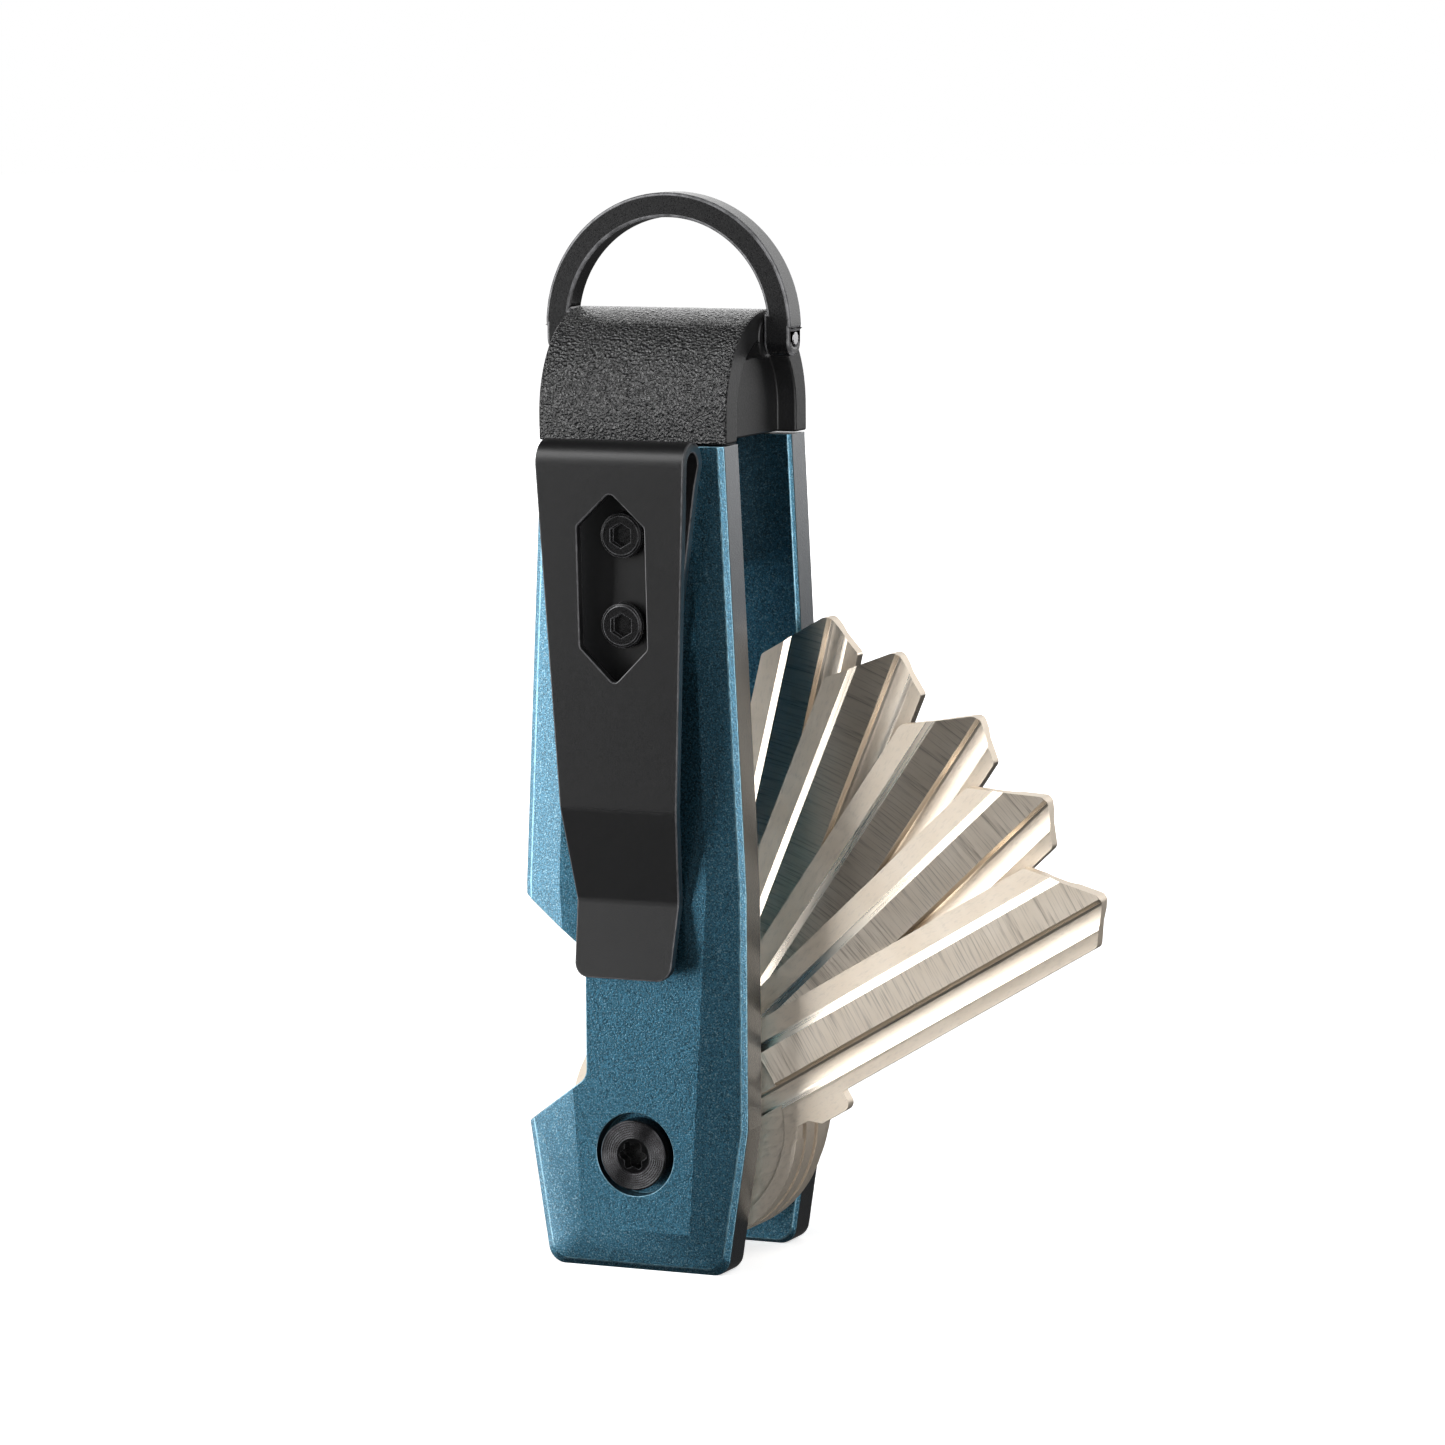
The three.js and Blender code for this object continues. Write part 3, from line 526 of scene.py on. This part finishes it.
def nickel_silver(name, stretch, fineness, dark_line, depth, roughness, **constants):
    """Plated key metal, with its grain drawn out along the axis that has the smallest stretch factor."""
    shader = Shader(name, Metallic=1.0, Roughness=roughness, **constants)
    lines = shader.noise(shader.position(stretch), fineness, detail=2, roughness=0.6)
    tarnish = shader.noise(shader.position(), 0.25, detail=4)
    stained = shader.blend(shader.faded(tarnish, 0.5), linear(246, 236, 222), linear(218, 198, 172))
    scratches = shader.faded(shader.ramp(lines, 0.48, 0.3), dark_line)
    shader.feed("Base Color", shader.blend(scratches, stained, linear(140, 132, 120)))
    shader.feed("Roughness", shader.ramp(lines, 0.3, 0.7, roughness - 0.05, roughness + 0.05))
    shader.feed("Normal", shader.bump(lines, depth, 0.8))
    return shader


def brushed_key_flat():
    """The high flats are brushed across the blade, which spreads their highlights along it."""
    lines = {"stretch": (1, 0.1, 0.03), "fineness": 7, "dark_line": 0.45, "depth": 0.008}
    shader = nickel_silver("brushed_nickel_silver", roughness=0.36, Anisotropic=0.95, **lines)
    turned = {"vector_type": "VECTOR", "convert_from": "OBJECT", "convert_to": "WORLD"}
    along_blade = shader.add("ShaderNodeVectorTransform", {"Vector": (1, 0, 0)}, **turned)
    shader.feed("Tangent", along_blade.outputs["Vector"])
    return shader.material


blue_aluminium = blasted_blue_aluminium()
grained_plastic = eroded_black_plastic()
smooth_plastic = smooth_black_plastic()
clip_black = coated_black_steel("coated_clip_steel", wear_and_edge_highlight=(70, 70, 72), roughness=0.34)
ring_black = coated_black_steel("polished_ring_steel", wear_and_edge_highlight=(105, 105, 107), roughness=0.3)
screw_black = blackened_steel(
    "black_oxide_screw_steel",
    dark=(14, 14, 15),
    light=(22, 22, 23),
    wear_and_edge_highlight=(85, 85, 87),
    metallic=0.5,
    roughness=0.28,
)
turned_black = blackened_steel(
    "turned_black_steel",
    dark=(20, 20, 21),
    light=(30, 30, 31),
    wear_and_edge_highlight=(85, 85, 87),
    metallic=0.85,
    roughness=0.2,
)
# Painted shade: a darker copy of the black oxide for the walls and floor of the pivot heads' sockets.
drive_painted_shade_black = blackened_steel(
    "painted_shade_drive_recess",
    dark=(4, 4, 4),
    light=(9, 9, 9),
    wear_and_edge_highlight=(12, 12, 12),
    metallic=0.1,
    roughness=0.3,
)
pin_steel = bright_steel("ground_pin_steel", dark=(150, 150, 152), light=(205, 205, 207))
washer_steel = bright_steel("plain_washer_steel", dark=(120, 121, 124), light=(170, 171, 174))
key_flat_metal = brushed_key_flat()
key_satin_metal = nickel_silver(
    "satin_nickel_silver",
    stretch=(0.3, 1, 1),
    fineness=5,
    dark_line=0.12,
    depth=0.004,
    roughness=0.54,
).material
key_edge_metal = nickel_silver(
    "drawn_nickel_silver",
    stretch=(0.02, 1, 1),
    fineness=5,
    dark_line=0.12,
    depth=0.004,
    roughness=0.3,
).material

# ---------------------------------------------------------------- plates


def inset_plate(margin):
    half = [(x - margin, max(z, margin) if z < PLATE_HEIGHT else z, radius) for x, z, radius in PLATE_HALF]
    return outline(both_halves(half), arc_steps=16)


def flat_outline():
    """The flat's outline, with one point for each point of the plate's outline."""
    points = []
    for x, z in inset_plate(0):
        side = math.copysign(1, x)
        if z < WIDEST_FROM:
            points.append((side * FLAT_BOTTOM[0], FLAT_BOTTOM[1]))
        elif z < PLATE_HEIGHT:
            points.append((side * FLAT_HALF_WIDTH, z))
        else:
            points.append((side * FLAT_TOP_HALF_WIDTH, z))
    return points


def plate_blank(side):
    """A faceted plate without holes. Side is -1 for the front plate and 1 for the rear one."""
    levels = [
        (FLAT_Y, flat_outline()),
        (SIDE_Y + EDGE_CHAMFER_DEPTH, inset_plate(EDGE_CHAMFER_WIDTH)),
        (SIDE_Y, inset_plate(0)),
        (INNER_FACE_Y + INNER_CHAMFER, inset_plate(0)),
        (INNER_FACE_Y, inset_plate(INNER_CHAMFER)),
    ]
    return loft("plate", [[(x, side * y, z) for x, z in points] for y, points in levels])


def plate_hole(side, radius, z, floor_y=INNER_FACE_Y - OVERSHOOT, sides=HOLE_SIDES):
    return turned_y([(radius, side * floor_y), (radius, side * (FLAT_Y + OVERSHOOT))], 0, z, sides)


def plate(side, name, screw_cuts):
    solid = cut(
        plate_blank(side),
        prism_y(outline(NOTCH), -FLAT_Y - OVERSHOOT, FLAT_Y + OVERSHOOT),
        plate_hole(side, BARREL_RADIUS + BARREL_CLEARANCE, PIVOT_Z),
        plate_hole(side, COUNTERBORE_RADIUS, PIVOT_Z, COUNTERBORE_FLOOR_Y, ROUND_SIDES),
        *screw_cuts,
    )
    round_edges(solid, 0.1, 15, crease_degrees=5.5)
    place(solid, name, "body", blue_aluminium)


plate(-1, "front_plate", [
    plate_hole(-1, SCREW_SHANK_RADIUS + GAP, UPPER_SCREW_Z),
    plate_hole(-1, SCREW_SHANK_RADIUS + GAP, LOWER_SCREW_Z),
])
plate(1, "rear_plate", [
    plate_hole(1, SCREW_SHANK_RADIUS + GAP, UPPER_SCREW_Z),
    plate_hole(1, SCREW_HEAD_RADIUS + 0.1, UPPER_SCREW_Z, FLAT_Y - SCREW_HEAD_HEIGHT - 2 * SEAT_GAP),
])

# ---------------------------------------------------------------- pivot screw, nut and washers


def lobed_socket(y0, y1, steps=120):
    points = []
    for step in range(steps):
        angle = math.tau * step / steps
        radius = DRIVE_RADIUS + DRIVE_LOBE_HEIGHT * math.cos(DRIVE_LOBES * angle)
        points.append((radius * math.cos(angle), PIVOT_Z + radius * math.sin(angle)))
    return prism_y(points, y0, y1)


def turned_head(seat_y, face_y):
    """A round head's profile, from its seat to its face, with fine rings turned into the face."""
    outwards = math.copysign(1, face_y - seat_y)
    profile = [(0, seat_y), (PIVOT_HEAD_RADIUS, seat_y)]
    profile.append((PIVOT_HEAD_RADIUS, face_y - outwards * PIVOT_HEAD_CHAMFER))
    profile.append((PIVOT_HEAD_RADIUS - PIVOT_HEAD_CHAMFER, face_y))
    radius = PIVOT_HEAD_RADIUS - 0.2
    while radius - RING_GROOVE_PITCH > DRIVE_RIM_RADIUS:
        profile.append((radius, face_y))
        profile.append((radius - RING_GROOVE_PITCH * 0.4, face_y - outwards * RING_GROOVE_DEPTH))
        profile.append((radius - RING_GROOVE_PITCH * 0.8, face_y))
        radius -= RING_GROOVE_PITCH
    profile.append((0, face_y))
    return profile


def is_in_shaded_drive(polygon):
    """True for the walls and floor of a pivot head's socket, which are painted darker as shade."""
    height = polygon.center.z * 1000 + PLATE_HEIGHT / 2 - PIVOT_Z
    is_central = math.hypot(polygon.center.x * 1000, height) < DRIVE_RIM_RADIUS - GAP
    return is_central and abs(polygon.center.y * 1000 + FLAT_Y) < FLAT_Y - 0.2


def pivot_screw():
    face_y = -FLAT_Y - PIVOT_HEAD_PROUD
    seat_y = -COUNTERBORE_FLOOR_Y - SEAT_GAP
    head = turned_y(turned_head(seat_y, face_y), 0, PIVOT_Z)
    thread = [(THREAD_RADIUS, seat_y - 0.05), (THREAD_RADIUS, THREAD_END_Y)]
    shank = turned_y(thread, 0, PIVOT_Z, HOLE_SIDES)
    solid = cut(join(head, shank), lobed_socket(face_y - OVERSHOOT, face_y + FRONT_DRIVE_DEPTH))
    round_edges(solid, 0.02, 25, segments=2, clamp=True)
    place(solid, "pivot_screw", "body", turned_black)
    repaint(solid, drive_painted_shade_black, is_in_shaded_drive)


def pivot_nut():
    face_y = FLAT_Y - 0.1
    seat_y = COUNTERBORE_FLOOR_Y + SEAT_GAP
    barrel_end = -COUNTERBORE_FLOOR_Y + 0.2
    bore_radius = THREAD_RADIUS + GAP
    head = turned_y(turned_head(seat_y, face_y), 0, PIVOT_Z)
    barrel = turned_y([(BARREL_RADIUS, barrel_end), (BARREL_RADIUS, seat_y + 0.05)], 0, PIVOT_Z, HOLE_SIDES)
    bore_profile = [(bore_radius, barrel_end - 1), (bore_radius, THREAD_BORE_END_Y)]
    bore = turned_y(bore_profile, 0, PIVOT_Z, HOLE_SIDES)
    solid = cut(join(head, barrel), bore, lobed_socket(face_y - REAR_DRIVE_DEPTH, face_y + OVERSHOOT))
    round_edges(solid, 0.02, 25, segments=2, clamp=True)
    place(solid, "pivot_nut", "body", turned_black)
    repaint(solid, drive_painted_shade_black, is_in_shaded_drive)


def washer(number):
    middle = (number - (WASHER_COUNT + 1) / 2) * KEY_PITCH
    low, high = middle - WASHER_THICKNESS / 2, middle + WASHER_THICKNESS / 2
    hole_radius = BARREL_RADIUS + BARREL_CLEARANCE
    disc = turned_y([(WASHER_RADIUS, low), (WASHER_RADIUS, high)], 0, PIVOT_Z)
    hole = turned_y([(hole_radius, low - 1), (hole_radius, high + 1)], 0, PIVOT_Z, HOLE_SIDES)
    round_edges(cut(disc, hole), 0.05, 25)
    place(disc, f"washer_{number}", "body", washer_steel)


pivot_screw()
pivot_nut()
for number in range(1, WASHER_COUNT + 1):
    washer(number)

# ---------------------------------------------------------------- keys

# Grooves on a blade's side, as outlines in v (across the blade) and depth below that side
UPPER_LAND = [(2.1, 0), (2.95, LAND_DEPTH), (7, LAND_DEPTH), (7, -1), (2.1, -1)]
LOWER_GROOVE = [(-1.1, 0), (-1.1, -1), (-7, -1), (-7, 0.2), (-3.85, 0.16), (-3.6, 0.1), (-3, 0.42)]
LOWER_GROOVE += [(-2.5, 0.52), (-2.1, GROOVE_DEPTH), (-1.7, 0.52), (-1.45, 0.42)]


def groove_tool(profile, turn):
    """What a groove takes out of a blade: on its front with turn 1, on its back with turn -1."""
    points = [(turn * (depth - KEY_THICKNESS / 2), turn * v) for v, depth in profile]
    return prism_x(points, GROOVE_START_U, TIP_U + OVERSHOOT)


def key_plan():
    """A key blank of even thickness, along U from the pivot to the tip."""
    half = KEY_THICKNESS / 2
    bow = turned_y([(BOW_RADIUS, -half), (BOW_RADIUS, half)], BOW_CENTRE_U, 0, 180)
    blade = prism_y(outline([
        (BOW_CENTRE_U, -BLADE_HALF_WIDTH, 0),
        (50.5, -BLADE_HALF_WIDTH, BLADE_CORNER_RADIUS),
        (TIP_U, -1, TIP_RADIUS),
        (47.7, BLADE_HALF_WIDTH, BLADE_CORNER_RADIUS),
        (BOW_CENTRE_U, BLADE_HALF_WIDTH, 0),
    ]), -half, half)
    shoulder = prism_y(outline([
        (BOW_CENTRE_U, -5.5, 0),
        (15.6, -5.8, 0.5),
        (16.8, -SHOULDER_REACH, 0),
        (SHOULDER_END_U, -SHOULDER_REACH, 0.8),
        (SHOULDER_END_U, 0, 0),
        (BOW_CENTRE_U, 0, 0),
    ]), -half, half)
    return join(bow, blade, shoulder)


def is_satin_face(polygon):
    """The faces that lie flat, the ends of the blade and the edge of the bow."""
    along, across = polygon.center.x * 1000 - BOW_CENTRE_U, polygon.center.z * 1000
    is_bow_edge = math.hypot(along, across) > BOW_RADIUS - 0.2 and along < BOW_RADIUS
    return abs(polygon.normal.y) > 0.95 or polygon.normal.x > 0.5 or is_bow_edge


def is_blade_flat(polygon):
    """True for the high flats of a key's blade, between its grooves."""
    height = abs(polygon.center.y) * 1000
    return height > KEY_THICKNESS / 2 - 0.02 and polygon.center.x * 1000 > GROOVE_START_U


def key(index):
    half = KEY_THICKNESS / 2
    recess = BOW_RADIUS - BOW_RIM
    front_recess = turned_y([(recess, -half - 1), (recess, -half + BOW_RECESS)], BOW_CENTRE_U, 0, 180)
    back_recess = turned_y([(recess, half - BOW_RECESS), (recess, half + 1)], BOW_CENTRE_U, 0, 180)
    hole = turned_y([(KEY_HOLE_RADIUS, -half - 1), (KEY_HOLE_RADIUS, half + 1)], 0, 0, HOLE_SIDES)
    grooves = [groove_tool(profile, turn) for turn in (1, -1) for profile in (UPPER_LAND, LOWER_GROOVE)]
    solid = cut(key_plan(), front_recess, back_recess, hole, *grooves)
    round_edges(solid, 0.08, 22, clamp=True)
    solid.data.transform(Matrix.Scale(0.001, 4))
    name = f"key_{index + 1}"
    solid.name = f"{name}_fine"
    turn = Matrix.Rotation(-math.radians(KEY_ANGLES[index]), 4, "Y")
    middle = (len(KEY_ANGLES) - 1) / 2
    pivot = Vector((0, (index - middle) * KEY_PITCH - FLAT_Y, PIVOT_Z - PLATE_HEIGHT / 2)) / 1000
    offset = Matrix.Translation((0, 0, KEY_SIDE_PLAY[index] / 1000))
    solid.matrix_world = Matrix.Translation(pivot) @ turn @ offset
    finish(solid, name, name, key_edge_metal)
    repaint(solid, key_satin_metal, is_satin_face)
    repaint(solid, key_flat_metal, is_blade_flat)


for index in range(len(KEY_ANGLES)):
    key(index)

# ---------------------------------------------------------------- end cap


def arch_outline(radius, bottom_z):
    """A round-topped outline in Y and Z."""
    return [(-radius, bottom_z), (radius, bottom_z)] + arc(0, CAP_ARCH_Z, radius, 0, 180, 72)


def is_outside_of_arch(polygon):
    """True for the front, top and rear of the end cap, which carry the grain."""
    across = polygon.center.y * 1000 + FLAT_Y
    above = max(polygon.center.z * 1000 + PLATE_HEIGHT / 2 - CAP_ARCH_Z, 0)
    return math.hypot(across, above) > SIDE_Y - 0.15


def end_cap():
    floor = CAP_HALF_WIDTH - CAP_RECESS_DEPTH
    recess = arch_outline(SIDE_Y - CAP_WALL, CAP_BOTTOM_Z - OVERSHOOT)
    arch = cut(
        prism_x(arch_outline(SIDE_Y, CAP_BOTTOM_Z), -CAP_HALF_WIDTH, CAP_HALF_WIDTH),
        prism_x(recess, floor, CAP_HALF_WIDTH + OVERSHOOT),
        prism_x(recess, -CAP_HALF_WIDTH - OVERSHOOT, -floor),
    )
    depth = INNER_FACE_Y - 0.1
    solid = join(
        arch,
        box(-TONGUE_HALF_WIDTH, TONGUE_HALF_WIDTH, -depth, depth, TONGUE_BOTTOM_Z, CAP_ARCH_Z),
        turned_x([(BOSS_RADIUS, floor - 1), (BOSS_RADIUS, BOSS_REACH)], 0, PIN_Z),
        turned_x([(BOSS_RADIUS, -BOSS_REACH), (BOSS_RADIUS, -floor + 1)], 0, PIN_Z),
    )
    hole = SCREW_SHANK_RADIUS + GAP
    pin_hole = PIN_RADIUS + GAP
    cut(
        solid,
        turned_y([(hole, -INNER_FACE_Y - 1), (hole, INNER_FACE_Y + 1)], 0, UPPER_SCREW_Z, HOLE_SIDES),
        turned_x([(pin_hole, PIN_X[0] - 0.1), (pin_hole, BOSS_REACH + 1)], 0, PIN_Z, HOLE_SIDES),
        turned_x([(pin_hole, -BOSS_REACH - 1), (pin_hole, -PIN_X[0] + 0.1)], 0, PIN_Z, HOLE_SIDES),
    )
    round_edges(solid, 0.22, 25, segments=4)
    place(solid, "end_cap", "body", smooth_plastic)
    repaint(solid, grained_plastic, is_outside_of_arch)


end_cap()

# ---------------------------------------------------------------- ring and pins


def d_ring():
    half = RING_HALF_DEPTH
    outside = arc(0, RING_CENTRE_Z, RING_OUTER_RADIUS, 0, 180, ROUND_SIDES)
    inside = arc(0, RING_CENTRE_Z, RING_INNER_RADIUS, 180, 0, ROUND_SIDES)
    arch = prism_y(outside + inside, -half, half)
    legs = []
    for side in (-1, 1):
        x0, x1 = sorted((side * LEG_X[0], side * LEG_X[1]))
        legs.append(box(x0, x1, -half, half, LEG_END_Z, RING_CENTRE_Z + LEG_OVERLAP))
        legs.append(turned_x([(half, x0), (half, x1)], 0, LEG_END_Z, HOLE_SIDES))
    hole_radius = PIN_RADIUS + 0.1
    hole = turned_x([(hole_radius, -LEG_X[1] - 1), (hole_radius, LEG_X[1] + 1)], 0, PIN_Z, HOLE_SIDES)
    solid = cut(join(arch, *legs), hole)
    round_edges(solid, 0.3, 25, segments=4)
    place(solid, "d_ring", "d_ring", ring_black)


def ring_pin(side, name):
    x0, x1 = sorted((side * PIN_X[0], side * PIN_X[1]))
    solid = round_edges(turned_x([(PIN_RADIUS, x0), (PIN_RADIUS, x1)], 0, PIN_Z, HOLE_SIDES), 0.1, 25)
    place(solid, name, "body", pin_steel)


d_ring()
ring_pin(-1, "ring_pin_left")
ring_pin(1, "ring_pin_right")

# ---------------------------------------------------------------- pocket clip


def strip_outline(path):
    """The outline of a strip of even thickness that lies to the right of a path in Y and Z."""
    inner = []
    for i, point in enumerate(path):
        before = (point - path[i - 1]).normalized() if i > 0 else (path[1] - point).normalized()
        after = (path[i + 1] - point).normalized() if i + 1 < len(path) else before
        direction = (before + after).normalized()
        inner.append(point + Vector((direction.y, -direction.x)) * CLIP_THICKNESS / direction.dot(before))
    return path + inner[::-1]


def bent(corner, before, after, radius, steps=10):
    """Points that round one bend of the clip's path off, between its straight lengths."""
    corners = [(*before, 0), (*corner, radius), (*after, 0)]
    return outline(corners, steps)[1:-1]


def clip_path():
    """The clip's outer side in Y and Z, from its tip up over the fold and down to its hidden end."""
    top = (CLIP_BACK_Y - 2 * CLIP_BEND_RADIUS, CLIP_BEND_Z)
    path = [Vector(CLIP_TIP)]
    path += bent(CLIP_SECOND_BEND, CLIP_TIP, CLIP_FIRST_BEND, CLIP_SECOND_BEND_RADIUS)
    path += bent(CLIP_FIRST_BEND, CLIP_SECOND_BEND, top, CLIP_FIRST_BEND_RADIUS)
    path += arc(CLIP_BACK_Y - CLIP_BEND_RADIUS, CLIP_BEND_Z, CLIP_BEND_RADIUS, 180, 0, 36)
    path.append(Vector((CLIP_BACK_Y, CLIP_BACK_END_Z)))
    return path


def pocket_clip():
    """A bent strip, trimmed to one outline in front of the fold and to another behind it."""
    strip = prism_x(strip_outline(clip_path()), -CLIP_TOP_HALF_WIDTH, CLIP_TOP_HALF_WIDTH)
    far_y = CLIP_SPLIT_Y - 3 * CLIP_BEND_RADIUS
    wide = CLIP_TOP_HALF_WIDTH + 1
    low_z, high_z = CLIP_BACK_END_Z - OVERSHOOT, PLATE_HEIGHT + 6
    behind = box(-wide, wide, CLIP_SPLIT_Y, -FLAT_Y + OVERSHOOT, low_z, high_z)
    front = cut(prism_y(outline(both_halves(CLIP_FRONT_HALF)), far_y, -FLAT_Y + 1), behind)
    back = prism_y(outline(both_halves(CLIP_BACK_HALF)), CLIP_SPLIT_Y - 0.05, -FLAT_Y + 1)
    hole = SCREW_SHANK_RADIUS + GAP
    solid = cut(
        keep_inside(strip, join(front, back)),
        prism_y(outline(WINDOW, 6), CLIP_SPLIT_Y - 2 * CLIP_BEND_RADIUS, CLIP_SPLIT_Y),
        turned_y([(hole, CLIP_SPLIT_Y), (hole, -FLAT_Y + 1)], 0, UPPER_SCREW_Z, HOLE_SIDES),
        turned_y([(hole, CLIP_SPLIT_Y), (hole, -FLAT_Y + 1)], 0, LOWER_SCREW_Z, HOLE_SIDES),
    )
    round_edges(solid, 0.14, 25)
    place(solid, "pocket_clip", "body", clip_black)


pocket_clip()

# ---------------------------------------------------------------- small screws


def socket_screw(name, side, seat_y, end_y, z):
    """A round-edged cap screw with a hexagonal socket. Side is -1 where its head faces the front."""
    face_y = seat_y + side * SCREW_HEAD_HEIGHT
    head = turned_y([
        (0, seat_y),
        (SCREW_HEAD_RADIUS, seat_y),
        (SCREW_HEAD_RADIUS, face_y - side * SCREW_HEAD_ROUNDING),
        (SCREW_HEAD_RADIUS - 0.12, face_y - side * 0.12),
        (SCREW_HEAD_RADIUS - SCREW_HEAD_ROUNDING, face_y),
        (0, face_y),
    ], 0, z)
    shank_profile = [(SCREW_SHANK_RADIUS, end_y), (SCREW_SHANK_RADIUS, seat_y + side * 0.05)]
    shank = turned_y(shank_profile, 0, z, HOLE_SIDES)
    bottom, mouth = face_y - side * SCREW_SOCKET_DEPTH, face_y + side * OVERSHOOT
    hexagon = [(p.x, z + p.y) for p in arc(0, 0, SCREW_SOCKET_RADIUS, 90, 450, 6)[:-1]]
    solid = cut(join(head, shank), prism_y(hexagon, *sorted((bottom, mouth))))
    round_edges(solid, 0.05, 25)
    place(solid, name, "body", screw_black)


clip_seat_y = CLIP_BACK_Y - CLIP_THICKNESS - SEAT_GAP
socket_screw("clip_screw_upper", -1, clip_seat_y, -1.5, UPPER_SCREW_Z)
socket_screw("clip_screw_lower", -1, clip_seat_y, -6.5, LOWER_SCREW_Z)
socket_screw("rear_cap_screw", 1, FLAT_Y - SCREW_HEAD_HEIGHT - SEAT_GAP, 1.5, UPPER_SCREW_Z)

# ---------------------------------------------------------------- studio

# In metres, in the row frame
FLOOR_Z = -PLATE_HEIGHT / 2000
FLOOR_RADIUS = 3
FLOOR_THICKNESS = 0.01
CENTRE = Vector((0.01, -0.01, 0.01))
CAMERA_POSITION = Vector((0.2433, -0.5508, 0.0866))
CAMERA_TARGET = Vector((0.0092, -0.0202, 0.0137))
CAMERA_LENS = 153.2
CAMERA_ROLL = -0.41


def aim(obj, target):
    direction = Vector(target) - obj.location
    obj.rotation_euler = direction.to_track_quat("-Z", "Y").to_euler()


def softbox(name, azimuth, elevation, width, height, brightness, distance=0.8):
    """A soft light around the organiser. Azimuth 0 is in front of it, and positive towards +X."""
    turn, lift = math.radians(azimuth), math.radians(elevation)
    towards = Vector((math.sin(turn) * math.cos(lift), -math.cos(turn) * math.cos(lift), math.sin(lift)))
    light = bpy.data.lights.new(name, "AREA")
    light.shape = "RECTANGLE"
    light.size = width
    light.size_y = height
    light.energy = brightness * math.pi * width * height
    obj = bpy.data.objects.new(name, light)
    obj.location = CENTRE + towards * distance
    obj.visible_camera = False
    bpy.context.scene.collection.objects.link(obj)
    aim(obj, CENTRE)


def pale_floor():
    """A round white floor that glows with painted light, less near the organiser and more away from it, so
    that it fades into the backdrop.
    """
    rim = arc(0, 0, FLOOR_RADIUS, 0, 360, ROUND_SIDES)[:-1]
    levels = (FLOOR_Z - FLOOR_THICKNESS, FLOOR_Z)
    floor = loft("floor", [[(point.x, point.y, z) for point in rim] for z in levels])
    shader = Shader("pale_floor", Roughness=0.9)
    shader.bsdf.inputs["Base Color"].default_value = (0.9, 0.9, 0.9, 1)
    shader.bsdf.inputs["Emission Color"].default_value = (1, 1, 1, 1)
    reach = shader.add("ShaderNodeVectorMath", {0: shader.position()}, operation="LENGTH")
    # Painted light: the floor glows, from 0.55 near the organiser to 0.95 far from it.
    glow = shader.ramp(reach.outputs["Value"], 30, 250, to_low=0.55, to_high=0.95)
    shader.feed("Emission Strength", glow)
    floor.data.materials.append(shader.material)
    floor.visible_glossy = False
    floor.visible_shadow = False


def studio_world():
    """A dim room for reflections, behind a pale backdrop that only the camera sees."""
    world = bpy.data.worlds.new("studio")
    world.use_nodes = True
    nodes, links = world.node_tree.nodes, world.node_tree.links
    room = nodes["Background"]
    room.inputs["Color"].default_value = (1, 1, 1, 1)
    room.inputs["Strength"].default_value = 0.07
    backdrop = nodes.new("ShaderNodeBackground")
    backdrop.inputs["Color"].default_value = (1, 1, 1, 1)
    backdrop.inputs["Strength"].default_value = 1
    mix = nodes.new("ShaderNodeMixShader")
    links.new(nodes.new("ShaderNodeLightPath").outputs["Is Camera Ray"], mix.inputs["Fac"])
    links.new(room.outputs["Background"], mix.inputs[1])
    links.new(backdrop.outputs["Background"], mix.inputs[2])
    links.new(mix.outputs["Shader"], nodes["World Output"].inputs["Surface"])
    bpy.context.scene.world = world


def camera():
    data = bpy.data.cameras.new("camera")
    data.lens = CAMERA_LENS
    data.sensor_width = 36
    obj = bpy.data.objects.new("camera", data)
    obj.location = CAMERA_POSITION
    bpy.context.scene.collection.objects.link(obj)
    aim(obj, CAMERA_TARGET)
    obj.rotation_euler.rotate_axis("Z", math.radians(CAMERA_ROLL))
    bpy.context.scene.camera = obj


softbox("left_softbox", azimuth=-58, elevation=15, width=0.66, height=1.2, brightness=4.8)
softbox("right_softbox", azimuth=46, elevation=16, width=0.5, height=1.1, brightness=4.5)
softbox("upper_softbox", azimuth=-28, elevation=40, width=0.4, height=0.4, brightness=1.5)
softbox("back_wall", azimuth=180, elevation=16, width=1.6, height=0.6, brightness=1.8, distance=0.9)
pale_floor()
studio_world()
camera()
bpy.context.scene.view_settings.view_transform = "Standard"
